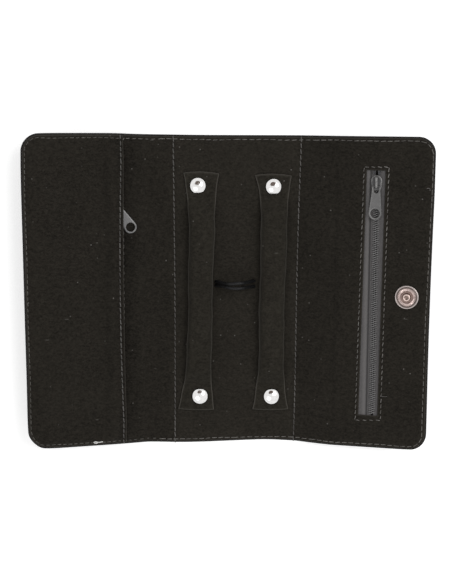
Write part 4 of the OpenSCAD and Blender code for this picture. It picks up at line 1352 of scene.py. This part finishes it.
def woven(name, threads, dark, light, depth, over=None, **settings):
    """Woven cloth; over may add to its colour."""
    material, tree, shader, where = principled(name, **settings)
    sockets = {"Vector": where, "Threads": threads, "Dark": dark, "Light": light}
    cloth = node(tree, "ShaderNodeGroup", sockets, node_tree=weave).outputs
    colour = over(tree, where, cloth["Color"]) if over else cloth["Color"]
    finish(tree, shader, colour, cloth["Roughness"], cloth["Height"], depth, 0.6)
    return material


def tape_shade_and_highlight(tree, where, cloth):
    """A painted shade in the groove beside each coil, dark on the left of the chain and faint on the right; further
    out, a paler band over the raised rib is a painted highlight.
    """
    across = node(tree, "ShaderNodeSeparateXYZ", {0: where}).outputs[0]

    def away(operation, at):
        return sums(tree, "ABSOLUTE", sums(tree, operation, across, at))

    # Painted shade in the grooves beside the coil: strong on the left, faint on the right, the side the light comes
    # from.
    left_groove_shade = spread(tree, away("ADD", 0.00335), 0.0008, 0.00025, 0.0, 0.75)
    right_groove_shade = spread(tree, away("SUBTRACT", 0.0031), 0.0006, 0.0002, 0.0, 0.2)
    # Painted highlight: a paler band over the raised rib.
    band = spread(tree, away("ADD", 0.0051), 0.0016, 0.0, 0.0, 0.5)
    paler = blend_colours(tree, band, cloth, (0.16, 0.152, 0.15))
    return blend_colours(tree, sums(tree, "MAXIMUM", left_groove_shade, right_groove_shade), paler, (0.02, 0.019, 0.019))


zip_cloth = woven(
    "grey_zip_tape", 1700.0, (0.058, 0.055, 0.055), (0.112, 0.106, 0.106), 0.00005, over=tape_shade_and_highlight,
    flat=True, Specular_IOR_Level=0.3, Sheen_Weight=0.15,
)


def on_flap(side, points):
    """Points in a flap's own frame (out from its fold, along, up from its outer face) at rest, in mm."""
    u, y, w = np.asarray(points, float).reshape(-1, 3).T
    lean = math.radians(RIGHT_FLAP_LEAN if side == "right" else LEFT_FLAP_LEAN)
    out, up = rotated(u, w - FOLD_Z, lean)
    if side == "right":
        return np.stack([RIGHT_FLAP_X + out, y, RIGHT_FLAP_Z + up], -1)
    return np.stack([-LEFT_FLAP - out, y, FOLD_Z + up], -1)


def flap_piece(name, side, points, faces, material, smooth=True):
    if side == "left":
        faces = [tuple(reversed(f)) for f in faces]
    return new_piece(name, on_flap(side, points) * MM, faces, material, smooth)


def tape(chain, hand, rows):
    """One tape: its ribbed section carried along the zip, and its places for the weave."""
    top = [(chain + hand * (TAPE_GAP + d), TAPE_Z + TAPE - 0.03 + rise) for d, rise in TAPE_RIBS]
    section = (top + [(x, TAPE_Z) for x, _ in reversed(top)])[::-hand]
    points = [(x, y, z) for y in rows for x, z in section]
    return points, capped(len(rows), len(section), flip=True), [(x - chain, y) for x, y, _ in points]


for side, chain in (("right", RIGHT_CHAIN), ("left", LEFT_CHAIN)):
    high = RIGHT_TAPE_TOP if side == "right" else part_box(f"{side}_zip_tapes")[1][1] / MM
    rows = np.append(np.arange(TAPE_LOW, high + 0.01, TAPE_ROW)[:-1], high)
    points, faces, uv = gather([tape(chain, hand, rows) for hand in (-1, 1)])
    piece = flap_piece(f"{side}_zip_tape_pair", side, points, faces, zip_cloth, smooth=False)
    unroll(piece, uv)
    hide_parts(f"{side}_zip_tapes")
    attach(piece, f"{side}_flap")

# ---- zip coils ----
# Two nylon spirals whose turns lie in each other's gaps; each turn's head leans a little forward.

COIL_PITCH, COIL_WIDTH, COIL_HEIGHT, COIL_WIRE, COIL_OVERLAP, COIL_Z = 1.3, 2.4, 1.0, 0.45, 0.35, 2.35
COIL_SIDES, HEAD_POINTS, HEAD_SWELL = 6, (0, 1, 9), 1.35


def speckled(name, scale, detail, dark, light, shine, depth=None, strength=0.4, tone=(0.3, 0.7), **settings):
    """A plain stock or metal whose colour, roughness and relief follow one fine speckle."""
    material, tree, shader, where = principled(name, **settings)
    fleck = noise(tree, where, scale, *detail)
    colour = blend_colours(tree, spread(tree, fleck, *tone), dark, light)
    finish(tree, shader, colour, spread(tree, fleck, 0.3, 0.7, *shine), depth and fleck, depth, strength)
    return material


nylon = speckled(
    "grey_nylon_coil", 700.0, (2.0,), (0.135, 0.132, 0.132), (0.21, 0.206, 0.206), (0.36, 0.52), 0.00003,
    Specular_IOR_Level=0.5,
)


def coil_turn():
    """One turn, with X along the chain, Y across it and Z up; the head is at the -Y end."""
    half = COIL_HEIGHT / 2 - COIL_WIRE / 2
    head, heel = -COIL_OVERLAP + COIL_WIRE / 2, COIL_WIDTH - COIL_OVERLAP - COIL_WIRE / 2
    ring = np.array([
        (0.10, head, 0.0), (0.14, head + 0.14, half * 0.9), (0.10, head + 0.6, half), (0.0, (head + heel) / 2, half),
        (-0.16, heel - 0.35, half), (-0.25, heel, 0.0), (-0.22, heel - 0.35, -half), (0.0, (head + heel) / 2, -half),
        (0.06, head + 0.5, -half), (0.08, head + 0.12, -half * 0.85),
    ])
    vertices = []
    for j, p in enumerate(ring):
        t = ring[(j + 1) % len(ring)] - ring[j - 1]
        t /= np.linalg.norm(t)
        out = np.array([1.0, 0, 0]) - t[0] * t
        out /= np.linalg.norm(out)
        wide = COIL_WIRE / 2 * (HEAD_SWELL if j in HEAD_POINTS else 1.0)
        for a in around(COIL_SIDES):
            vertices.append(p + wide * math.cos(a) * out + COIL_WIRE / 2 * math.sin(a) * np.cross(t, out))
    loop = rings_to_faces(len(ring) + 1, COIL_SIDES)
    return vertices, [tuple(v % len(vertices) for v in (a, d, c, b)) for a, b, c, d in loop]


def coil_rows(side, chain, high):
    """Two lines of turns, one for each coil, heads towards the chain's middle."""
    lines = []
    for hand in (-1, 1):
        top = high - (COIL_PITCH / 2 if hand < 0 else 0)
        y = top - COIL_PITCH * np.arange(int((top - CHAIN_LOW - COIL_WIRE) / COIL_PITCH) + 1)[::-hand]
        flat = np.stack([np.full_like(y, chain), y, np.full_like(y, COIL_Z + COIL_HEIGHT / 2)], -1)
        at, above = on_flap(side, flat), on_flap(side, flat + (0, 0, 1))
        lines.append((at * MM, above - at))
    return lines


one_turn = template("one_coil_turn", *coil_turn())
for side, chain in (("right", RIGHT_CHAIN), ("left", LEFT_CHAIN)):
    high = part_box(f"{side}_zip_coils")[1][1] / MM - COIL_WIRE / 2
    coils = grow(
        row_tree, drawn_lines(f"{side}_coil_lines", coil_rows(side, chain, high)), f"{side}_zip_coil_pair",
        Part=one_turn, Pitch=COIL_PITCH * MM, Slant=0.0, Turn_Spread=0.0, Size_Spread=0.0, Material=nylon,
    )
    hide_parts(f"{side}_zip_coils")
    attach(coils, f"{side}_flap")

# ---- zip stops ----
# Small stamped stops: two clamped on the tapes' edges above the slider, one flat under the chain's end.


def coat(names, material):
    """Gives pieces that keep their own shape a material."""
    for name in names:
        for held in bpy.data.objects[name].material_slots:
            held.material = material


coat(("left_zip_stops", "right_zip_stops"), speckled(
    "dark_zip_metal", 1100.0, (3.0,), (0.045, 0.045, 0.048), (0.12, 0.12, 0.125), (0.3, 0.5), 0.00003,
    tone=(0.35, 0.7), Metallic=1.0,
))

# ---- zip sliders ----
# Die-cast sliders in black enamel: two plates joined by a wedge, side flanges round the coils, and a
# bridge that holds the pull.

SLIDER_LENGTH, SLIDER_HALF, SLIDER_PLATE, SLIDER_UNDER, SLIDER_OVER = 8.8, 3.15, 0.45, 1.45, 3.45
SLIDER_ROUND, FLANGE_LOW, INTO_PLATE = 0.16, 2.48, 0.2
WEDGE = ((0, 1.2), (0.58, 2.4), (0.58, 3.9), (-0.58, 3.9), (-0.58, 2.4))
BRIDGE_HALF, BRIDGE_TOP, BRIDGE_WIDE, BRIDGE_THICK, BRIDGE_BEND = 3.1, 5.7, 1.3, 0.5, 0.75
STRIP_PITCH, STRIP_SIDES = 0.18, 14
PLATE_GRID = (0.8, 0.7)
RIGHT_SLIDER_Y, LEFT_SLIDER_Y = 66.6, 55.2


def enamelled(name, base, edge):
    """Enamel over metal: paler, and more metallic, where the mesh's "rim" is 1, which marks rubbed-through edges and
    painted highlights; darker where it is -1, a painted shade.
    """
    material, tree, shader, where = principled(name, Specular_IOR_Level=0.5, Coat_Weight=0.2, Coat_Roughness=0.25)
    mottle = noise(tree, where, 420.0, 4.0, 0.6)
    rim = node(tree, "ShaderNodeAttribute", attribute_name="rim").outputs["Fac"]
    # Paler where rim is positive: rubbed-through edges and painted highlight.
    wear_and_highlight = sums(tree, "MULTIPLY", rim, spread(tree, mottle, 0.25, 0.6, 0.35, 1.0), clamp=True)
    clean = blend_colours(tree, spread(tree, mottle, 0.35, 0.7), base, tuple(1.2 * c for c in base))
    # Darker where rim is negative: a painted shade.
    with_painted_shade = blend_colours(tree, spread(tree, rim, 0.0, -1.0), clean, tuple(0.3 * c for c in base))
    feed(tree, shader.inputs["Metallic"], spread(tree, wear_and_highlight, 0.0, 1.0, 0.0, 0.5))
    finish(
        tree, shader, blend_colours(tree, wear_and_highlight, with_painted_shade, edge), spread(tree, mottle, 0.3, 0.7, 0.3, 0.44), mottle,
        0.00004, 0.3,
    )
    return material


pull_enamel = enamelled("grey_enamel", (0.098, 0.096, 0.095), (0.24, 0.235, 0.23))
slider_enamel = enamelled("black_enamel", (0.026, 0.0255, 0.026), (0.30, 0.295, 0.29))


def inward(loop, d):
    """A loop moved to its left by d; an anticlockwise loop shrinks, a clockwise hole grows."""
    t = np.roll(loop, -1, 0) - np.roll(loop, 1, 0)
    t /= np.maximum(np.hypot(*t.T), 1e-9)[:, None]
    return loop + np.stack([-t[:, 1], t[:, 0]], -1) * d


def rounded_plate(loops, low, high, r, crown=None):
    """A flat plate with holes and rounded edges. loops: the outline anticlockwise, then its holes
    clockwise, in mm. Returns points, faces and a rim mask that is 1 on the rounded edges."""
    steps = [(r, 0.0), (0.3 * r, 0.3 * r), (0.0, r)]
    rows = [(d, low + z) for d, z in steps] + [(d, high - z) for d, z in reversed(steps)]
    inner = [inward(loop, r) for loop in loops]
    points, faces, rim, flat, edges, ids = [], [], [], [], [], []
    for loop, face_loop in zip(loops, inner):
        n, base = len(loop), len(points)
        for k, (d, z) in enumerate(rows):
            points += [(x, y, z) for x, y in inward(loop, d)]
            rim += [1.0 if 0 < k < len(rows) - 1 else 0.55] * n
        faces += [tuple(base + v for v in (a, d, c, b)) for a, b, c, d in rings_to_faces(len(rows), n)]
        edges += ring_edges(len(flat), n)
        flat += [tuple(p) for p in face_loop]
        ids += [(base + k, base + (len(rows) - 1) * n + k) for k in range(n)]
    grid = staggered(np.min(flat, axis=0), np.max(flat, axis=0), *PLATE_GRID)
    good = within(grid, inner)
    for loop in inner:
        good &= line_distance(grid, np.vstack([loop, loop[:1]])) > 0.35
    for x, y in grid[good]:
        ids.append((len(points), len(points) + 1))
        flat.append((x, y))
        points += [(x, y, low), (x, y, high)]
        rim += [0.0, 0.0]
    fit, _, cells, origins = delaunay_2d_cdt([Vector(p) for p in flat], edges, [], 0, 1e-6)[:4]
    for cell in cells:
        middle = np.array([[sum(fit[i][0] for i in cell) / 3, sum(fit[i][1] for i in cell) / 3]])
        if within(middle, inner)[0]:
            own = anticlockwise([origins[i][0] for i in cell], flat)
            faces += [tuple(ids[i][1] for i in own), tuple(ids[i][0] for i in reversed(own))]
    if crown:
        points = [(x, y, z + (crown(x, y) if z > (low + high) / 2 else 0)) for x, y, z in points]
    return points, faces, rim


def slider_outline(half):
    """Seen from above: a round nose, a straight waist and a foot with its corners cut."""
    centre, end = SLIDER_LENGTH / 2 - SLIDER_HALF, SLIDER_LENGTH / 2
    nose = [(half * math.cos(a), centre + half * math.sin(a)) for a in np.linspace(0, math.pi, 20)]
    waist, foot = half * 0.98, half * 0.84
    left = [(-waist, 0.0), (-foot, 0.7 - end), (0.6 - foot, -end)]
    return nose + left + [(-x, y) for x, y in reversed(left)]


def swept_strip(path, half_wide, half_thick):
    """A rounded strip along a path of (along, up), wide across it; its ends are a little narrower."""
    path = resample(path, STRIP_PITCH, closed=False)
    t = np.gradient(path, axis=0)
    t /= np.hypot(*t.T)[:, None]
    points, n = [], len(path)
    for j, ((y, z), (ty, tz)) in enumerate(zip(path, t)):
        end = min(1.0, min(j, n - 1 - j) / 2 * 0.2 + 0.85)
        for a in around(STRIP_SIDES):
            c, s = math.cos(a), math.sin(a)
            wide = half_wide * math.copysign(abs(c) ** 0.7, c) * end
            thick = half_thick * math.copysign(abs(s) ** 0.7, s)
            points.append((wide, y - tz * thick, z + ty * thick))
    # The whole strip is marked 0.75, which the enamel paints paler: a painted highlight on the slider's bridge.
    return points, [tuple(reversed(f)) for f in capped(n, STRIP_SIDES)], [0.75] * len(points)


def bridge():
    """The bow over the top plate, from foot to foot."""
    top, foot = BRIDGE_TOP - BRIDGE_THICK / 2, SLIDER_OVER + INTO_PLATE
    turn, bend = BRIDGE_HALF - BRIDGE_BEND, BRIDGE_BEND
    path = [(-BRIDGE_HALF, foot), (-BRIDGE_HALF - 0.02, 4.5)]
    path += [
        (-turn - bend * math.cos(a), top - bend + bend * math.sin(a)) for a in np.linspace(0.1, math.pi / 2, 6)
    ]
    path += [(y, top) for y in (-1.2, 0.0, 1.2)]
    path += [
        (turn + bend * math.sin(a), top - bend + bend * math.cos(a)) for a in np.linspace(0, math.pi / 2 - 0.1, 6)
    ]
    path += [(BRIDGE_HALF + 0.02, 4.5), (BRIDGE_HALF, foot)]
    return swept_strip(path, BRIDGE_WIDE / 2, BRIDGE_THICK / 2)


def flange(hand):
    """The wall that closes one side of the slider, following its outline."""
    outer, inner = (
        sorted(((x, y) for x, y in slider_outline(SLIDER_HALF - inset) if x * hand > from_x), key=lambda q: q[1])
        for inset, from_x in ((0.02, 1.7), (0.5, 1.4))
    )
    band = np.array(outer + inner[::-1])[:: hand]
    return rounded_plate([resample(band, 0.3)], FLANGE_LOW, SLIDER_OVER + INTO_PLATE, 0.08)


def slider_dome(x, y):
    """The top plate's low crown."""
    return 0.35 * max(0.0, 1 - (x / SLIDER_HALF) ** 2 * 1.1 - (y / 4.6) ** 2 * 0.8)


rim_line = resample(slider_outline(SLIDER_HALF), 0.35)
# The slider's rounded edges and its bridge are painted paler: partly rubbed-through enamel, partly painted highlight.
slider_points, slider_faces, slider_wear_and_light = gather([
    rounded_plate([rim_line], SLIDER_OVER, SLIDER_OVER + SLIDER_PLATE, SLIDER_ROUND, crown=slider_dome),
    rounded_plate([rim_line], SLIDER_UNDER, SLIDER_UNDER + SLIDER_PLATE, SLIDER_ROUND),
    flange(-1),
    flange(1),
    rounded_plate([resample(WEDGE, 0.3)], SLIDER_UNDER + INTO_PLATE, SLIDER_OVER + INTO_PLATE, 0.06),
    bridge(),
])
SLIDER_AT = {"right": (RIGHT_CHAIN, RIGHT_SLIDER_Y, 0), "left": (LEFT_CHAIN, LEFT_SLIDER_Y, 0)}
for side, at in SLIDER_AT.items():
    piece = flap_piece(f"{side}_slider", side, np.array(slider_points) + at, slider_faces, slider_enamel)
    mark(piece, "rim", slider_wear_and_light)
    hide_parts(f"{side}_zip_slider")
    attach(piece, f"{side}_zip_slider")

# ---- zip pulls ----
# Enamelled pulls: a loop round the bridge, a tapering blade and a ring end with an eye. The right one
# lies along its chain; the left one has swung out from under the pocket's lip.

PULL_THICK, PULL_LENGTH, PULL_RING, PULL_EYE, PULL_NECK = 1.0, 16.0, 3.75, 2.75, 2.5
PULL_LOOP, PULL_SHOULDER, PULL_CORNER, PULL_BAR = 1.55, -2.6, 1.1, 0.45
PULL_Z, PULL_Y, PULL_DIP, LEFT_SWING, LEFT_TWIST, RIGHT_SWAY = 4.55, -2.0, 0.8726, 30.0, 5.0, 1.6


def arc(cx, cy, r, a0, a1, n):
    return [(cx + r * math.cos(math.radians(a)), cy + r * math.sin(math.radians(a))) for a in np.linspace(a0, a1, n)]


def pull_crown(x, y):
    """A raised bead round the eye."""
    return 0.1 * hump(abs(math.hypot(x, y + PULL_LENGTH) - (PULL_RING + PULL_EYE) / 2), 0.42)


taper = math.degrees(math.asin((PULL_RING - PULL_NECK) / (PULL_LENGTH + PULL_SHOULDER)))
corner_x, corner_y = PULL_NECK - PULL_CORNER, -0.6
pull_outline = [
    *arc(0, -PULL_LENGTH, PULL_RING, -180 - taper, taper, 44), (PULL_NECK, PULL_SHOULDER),
    *arc(corner_x, corner_y, PULL_CORNER, 0, 90, 7), *arc(-corner_x, corner_y, PULL_CORNER, 90, 180, 7),
    (-PULL_NECK, PULL_SHOULDER),
]
pull_eye = arc(0, -PULL_LENGTH, PULL_EYE, 360, 0, 41)[:-1]
pull_slot = arc(0, PULL_SHOULDER, PULL_LOOP, 0, -180, 18) + [(-PULL_LOOP, -0.15), (PULL_LOOP, -0.15)]
blade = rounded_plate(
    [resample(pull_outline, 0.4), resample(pull_eye, 0.4), resample(pull_slot, 0.35)],
    -PULL_THICK / 2, PULL_THICK / 2, 0.22, crown=pull_crown,
)
bar, bar_faces, _ = sweep([(x, 0, 0) for x in np.linspace(-2.35, 2.35, 9)], PULL_BAR)
pull_points, pull_faces, pull_wear_and_light = gather([blade, (bar, bar_faces, [0.0] * len(bar))])
# The blade's rounded edges are paler, rubbed-through enamel, full on the left side and 0.15 on the right: a painted
# highlight along the left side. The loop end by the bridge is painted darker: a painted shade under the bridge.
pull_wear_and_light = [
    m * (1.0 if x < 0.2 else 0.15) - 1.4 * float(ease((y + 0.9) / 0.8)) for (x, y, _), m in zip(pull_points, pull_wear_and_light)
]


def turn_by(points, degrees, axis):
    return np.asarray(points, float) @ np.array(Matrix.Rotation(math.radians(degrees), 3, axis)).T


flat_pull = turn_by(pull_points, PULL_DIP, "X")
right_pull = turn_by(flat_pull, -RIGHT_SWAY, "Z") + (RIGHT_CHAIN, RIGHT_SLIDER_Y + PULL_Y, PULL_Z)
# The left pull hangs at the bridge's foot end, swung out, and turned a little more about its ring.
left_hinge = np.array((LEFT_CHAIN, LEFT_SLIDER_Y - BRIDGE_HALF, PULL_Z))
left_pull = turn_by(flat_pull + (0, PULL_Y + BRIDGE_HALF, 0), -LEFT_SWING, "Z") + left_hinge
swing = math.radians(LEFT_SWING)
left_ring = left_hinge - np.array((math.sin(swing), math.cos(swing), 0)) * (PULL_LENGTH - PULL_Y - BRIDGE_HALF)
left_pull = turn_by(left_pull - left_ring, -LEFT_TWIST, "Z") + left_ring
for side, points in (("right", right_pull), ("left", left_pull)):
    piece = flap_piece(f"{side}_pull", side, points, pull_faces, pull_enamel)
    mark(piece, "rim", pull_wear_and_light)
    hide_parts(f"{side}_zip_pull")
    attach(piece, f"{side}_zip_pull")

# ---- magnetic snap ----
# Nickel-plated brass. The stud half on the right flap is a turned disc with a plain ring of radial
# ticks round a tubular stud; the socket half on the left flap's back is a lipped cup over a magnet.

SNAP_HIGH, SNAP_ON, STUD_RADIUS, STUD_TOP = 1.1, 3.2, 2.25, 2.9
SNAP_X, SNAP_Y, LEFT_SNAP_X = 44.9, -0.9, 30.1
SOCKET_BORE = 2.55
TICKS, TICK_DEPTH, TICK_RING = 34, 0.22, (3.75, 5.55)
# The angle is kept in the UV map as an arc at this radius, so that it has a length.
ANGLE_ARC = 5
# Painted reflections and shade: light and dark rings from the middle outwards, as a share of 7 mm.
RING_REACH = 0.007
PAINTED_RING_TONES = (
    (0.0, (0.20, 0.145, 0.12)), (0.12, (0.22, 0.16, 0.14)), (0.19, (0.52, 0.41, 0.37)),
    (0.27, (0.76, 0.61, 0.555)), (0.33, (0.30, 0.215, 0.19)), (0.45, (0.195, 0.135, 0.12)),
    (0.53, (0.27, 0.20, 0.18)), (0.58, (0.60, 0.48, 0.45)), (0.70, (0.57, 0.46, 0.43)),
    (0.77, (0.17, 0.135, 0.125)), (0.87, (0.10, 0.082, 0.076)), (0.915, (0.44, 0.385, 0.37)),
    (1.0, (0.50, 0.45, 0.43)),
)
DISC_PROFILE = (
    (2.32, 0.02), (6.9, 0.02), (7.0, 0.15), (7.0, 0.8), (6.93, 0.98), (6.75, 1.1), (6.35, 1.1), (6.2, 1.02),
    (6.1, 0.86), (5.85, 0.84), (5.7, 0.95), (5.6, 1.06), (5.5, 1.08), (5.3, 1.09), (4.9, 1.09), (4.4, 1.09),
    (4.0, 1.09), (3.85, 1.08), (3.7, 1.03), (3.55, 0.86), (3.3, 0.84), (2.6, 0.84), (2.32, 0.84),
)
STUD_PROFILE = (
    (0.0, STUD_TOP - 0.7), (0.6, STUD_TOP - 0.68), (0.95, STUD_TOP - 0.6), (1.12, STUD_TOP - 0.42),
    (1.22, STUD_TOP - 0.12), (1.4, STUD_TOP), (1.85, STUD_TOP), (2.05, STUD_TOP - 0.1), (2.18, STUD_TOP - 0.3),
    (STUD_RADIUS, STUD_TOP - 0.6), (STUD_RADIUS, 0.05), (2.1, 0.01),
)
CUP_PROFILE = (
    (SOCKET_BORE, -2.12), (6.4, -2.1), (6.58, -1.9), (6.6, -0.42), (7.0, -0.45), (7.0, -1.9), (6.97, -2.15),
    (6.8, -2.4), (6.5, -2.5), (2.7, -2.56), (SOCKET_BORE, -2.5),
)

nickel, nickel_tree, nickel_shader, nickel_at = principled("warm_nickel", flat=True, Metallic=1.0)
round_arc, radius, _ = node(nickel_tree, "ShaderNodeSeparateXYZ", {0: nickel_at}).outputs
lathe = node(nickel_tree, "ShaderNodeTexNoise", noise_dimensions="1D")
feed(nickel_tree, lathe.inputs["Scale"], 5200.0)
feed(nickel_tree, lathe.inputs["W"], radius)
# The metal's colour follows these painted rings of reflection and shade.
rings = node(nickel_tree, "ShaderNodeValToRGB", {"Fac": sums(nickel_tree, "MULTIPLY", radius, 1 / RING_REACH)})
while len(rings.color_ramp.elements) < len(PAINTED_RING_TONES):
    rings.color_ramp.elements.new(0.5)
for stop, (position, colour) in zip(rings.color_ramp.elements, PAINTED_RING_TONES):
    stop.position, stop.color = position, (*colour, 1)
tick_wave = sums(nickel_tree, "SINE", sums(nickel_tree, "MULTIPLY", round_arc, TICKS / (ANGLE_ARC * MM)))
tick_band = sums(
    nickel_tree, "MULTIPLY", spread(nickel_tree, radius, 0.0037, 0.0041), spread(nickel_tree, radius, 0.0056, 0.0052)
)
tick_marks = sums(nickel_tree, "MULTIPLY", tick_band, spread(nickel_tree, tick_wave, -0.2, 0.6))
tick_worn = spread(nickel_tree, noise(nickel_tree, nickel_at, 420.0), 0.4, 0.6)
tick_dark = sums(nickel_tree, "MULTIPLY", sums(nickel_tree, "MULTIPLY", tick_marks, tick_worn), 0.85)
tarnish = spread(nickel_tree, noise(nickel_tree, nickel_at, 330.0, 3.0), 0.35, 0.75, 0.0, 0.25)
shaded = blend_colours(nickel_tree, tarnish, rings.outputs[0], (0.22, 0.17, 0.15))
finish(
    nickel_tree, nickel_shader, blend_colours(nickel_tree, tick_dark, shaded, (0.14, 0.10, 0.09)),
    spread(nickel_tree, lathe.outputs[0], 0.2, 0.8, 0.22, 0.4), lathe.outputs[0], 0.00004, 0.5,
)


def snap_part(name, side, at, vertices, faces, body):
    """A turned part of the snap, standing on a flap, with UV (angle, radius)."""
    piece = flap_piece(name, side, np.array(vertices) + at, faces, nickel)
    unroll(piece, [(ANGLE_ARC * math.atan2(y, x), math.hypot(x, y)) for x, y, _ in vertices])
    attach(piece, body)
    return piece


def turned_ring(profile, sides, relief=None):
    """A turned ring: a closed profile of (radius, height) that never meets the axis."""
    n = len(profile)
    vertices = [
        (r * math.cos(a), r * math.sin(a), z + (relief(r, a, z) if relief else 0))
        for a in around(sides) for r, z in profile
    ]
    faces = rings_to_faces(sides + 1, n)
    return vertices, [tuple(v % (n * sides) for v in face) for face in faces]


def ticks(r, a, z):
    """A ring of plain radial grooves on the disc's face."""
    if z < SNAP_HIGH * 0.6:
        return 0.0
    band = float(ease((r - TICK_RING[0]) / 0.2) * ease((TICK_RING[1] - r) / 0.2))
    return -TICK_DEPTH * band * (0.5 + 0.5 * math.sin(a * TICKS)) ** 2


stud_at = (SNAP_X, SNAP_Y, SNAP_ON)
disc_mesh = turned_ring(DISC_PROFILE, TICKS * 6, ticks)
disc = snap_part("snap_disc", "right", stud_at, *disc_mesh, "right_flap")
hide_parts("snap_stud_disc")
stud = snap_part("snap_stud_tube", "right", stud_at, *turned(STUD_PROFILE, 64), "right_flap")
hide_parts("snap_stud")
cup = snap_part("snap_cup", "left", (LEFT_SNAP_X, SNAP_Y, 0.0), *turned_ring(CUP_PROFILE, 96), "left_flap")
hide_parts("snap_socket_cup")

coat(("snap_socket_base", "snap_socket_washer", "snap_stud_washer"), speckled(
    "plain_nickel", 500.0, (3.0,), (0.6, 0.53, 0.5), (0.45, 0.38, 0.35), (0.25, 0.42), 0.00003, Metallic=1.0
))
coat(("snap_magnet",), speckled(
    "ring_magnet", 1600.0, (3.0,), (0.028, 0.028, 0.03), (0.06, 0.06, 0.064), (0.45, 0.65), 0.00005, 0.5,
    Metallic=0.6,
))
coat(("rivet_posts",), speckled(
    "post_steel", 800.0, (3.0,), (0.35, 0.35, 0.35), (0.5, 0.5, 0.5), (0.3, 0.45), Metallic=1.0
))

# ---- thread ends ----
# A white knot with a short tail in the pocket's foot seam, and two grey ends by the right flap's edge.

KNOT = (
    (-1.3, 0.0, 0.15), (-0.8, 0.45, 0.5), (0.1, 0.5, 0.75), (0.55, -0.1, 0.6), (0.0, -0.55, 0.4),
    (-0.75, -0.35, 0.6), (-0.85, 0.25, 0.95), (0.0, 0.55, 0.95), (0.85, 0.15, 0.6), (0.8, -0.5, 0.4),
    (0.1, -0.4, 0.9), (0.6, 0.2, 1.1), (1.4, 0.1, 0.6), (2.3, -0.15, 0.35), (3.4, 0.1, 0.2), (4.3, 0.05, 0.1),
)
TAIL = ((-1.2, 0.2, 0.0), (-0.6, 0.25, 0.3), (0.8, 0.1, 0.35), (2.2, 0.25, 0.3), (3.0, 0.15, 0.05))
LOOP = (
    (-1.0, 0.2, 0.05), (-0.65, 0.5, 0.4), (0.0, 0.65, 0.65), (0.6, 0.45, 0.7), (0.95, -0.05, 0.5), (0.9, -0.9, 0.05),
)
THREAD_STEP, THREAD_SUNK = 0.12, 0.05


def rounded_path(points):
    """A smooth line through points."""
    points = np.asarray(points, float)
    padded = np.vstack([2 * points[0] - points[1], points, 2 * points[-1] - points[-2]])
    out = []
    for a, b, c, d in zip(padded[:-3], padded[1:-2], padded[2:-1], padded[3:]):
        n = max(2, int(np.linalg.norm(c - b) / THREAD_STEP))
        out += [
            0.5 * (2 * b + (c - a) * t + (2 * a - 5 * b + 4 * c - d) * t * t + (3 * b - a - 3 * c + d) * t ** 3)
            for t in np.arange(n) / n
        ]
    return np.array(out + [points[-1]])


for name, path, (s, y), height, radius, material, body in (
    ("thread_knot", KNOT, (-86.0, -91.6), pocket_top, 0.3, white_thread, "left_flap"),
    ("thread_tail", TAIL, (91.6, -62.0), lining_top, 0.15, thread, "right_flap"),
    ("thread_loop", LOOP, (CASE_RIGHT - 3.6, 63.3), lining_top, 0.17, fold_thread, "right_flap"),
):
    vertices, faces, _ = sweep(rounded_path(path), radius, sides=10)
    x, along, up = np.array(vertices).T
    laid = place(s + x, y + along, height(s + x, y + along) + up - THREAD_SUNK)
    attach(new_piece(name, laid, faces, material), body)

# ---- boards and pocket cloths ----
# Grey-brown pressed boards stiffen the three panels; thin black cloth backs the zip pockets.

coat(("board_centre", "board_left", "board_right"), speckled(
    "pressed_board", 650.0, (5.0, 0.65), (0.11, 0.09, 0.065), (0.19, 0.16, 0.12), (0.8, 0.95), 0.00008, 0.5,
    Specular_IOR_Level=0.2,
))
pocket_cloth = woven(
    "black_pocket_cloth", 1400.0, (0.006, 0.006, 0.006), (0.015, 0.015, 0.016), 0.00004, Specular_IOR_Level=0.2
)
CLOTH, CLOTH_SET, CLOTH_CORNER, CLOTH_GAP, CLOTH_FROM_CHAIN = 0.3, 3.4, 7, 0.05, 9.8


def cloth_edge(s, y):
    return case_edge(s, y) - CLOTH_SET


for side, low, high, corners, over in (
    ("left", CASE_LEFT + CLOTH_SET, -LEFT_FLAP - LEFT_CHAIN - CLOTH_FROM_CHAIN, (CLOTH_CORNER, 0), pocket_under),
    ("right", RIGHT_FLAP + RIGHT_CHAIN + CLOTH_FROM_CHAIN, CASE_RIGHT - CLOTH_SET, (0, CLOTH_CORNER), lining_under),
):

    def cloth_top(s, y, over=over):
        return over(s, y) - CLOTH_GAP

    def cloth_under(s, y, over=over):
        return np.maximum(over(s, y) - CLOTH_GAP - CLOTH, LEATHER + 0.02)

    rim = outline(low, high, CASE_HALF - CLOTH_SET, *corners)
    piece = lay_sheet(f"{side}_pocket_cloth", rim, cloth_edge, cloth_top, cloth_under, pocket_cloth, step=4.0)
    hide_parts(f"pocket_cloth_{side}")
    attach(piece, f"{side}_flap")
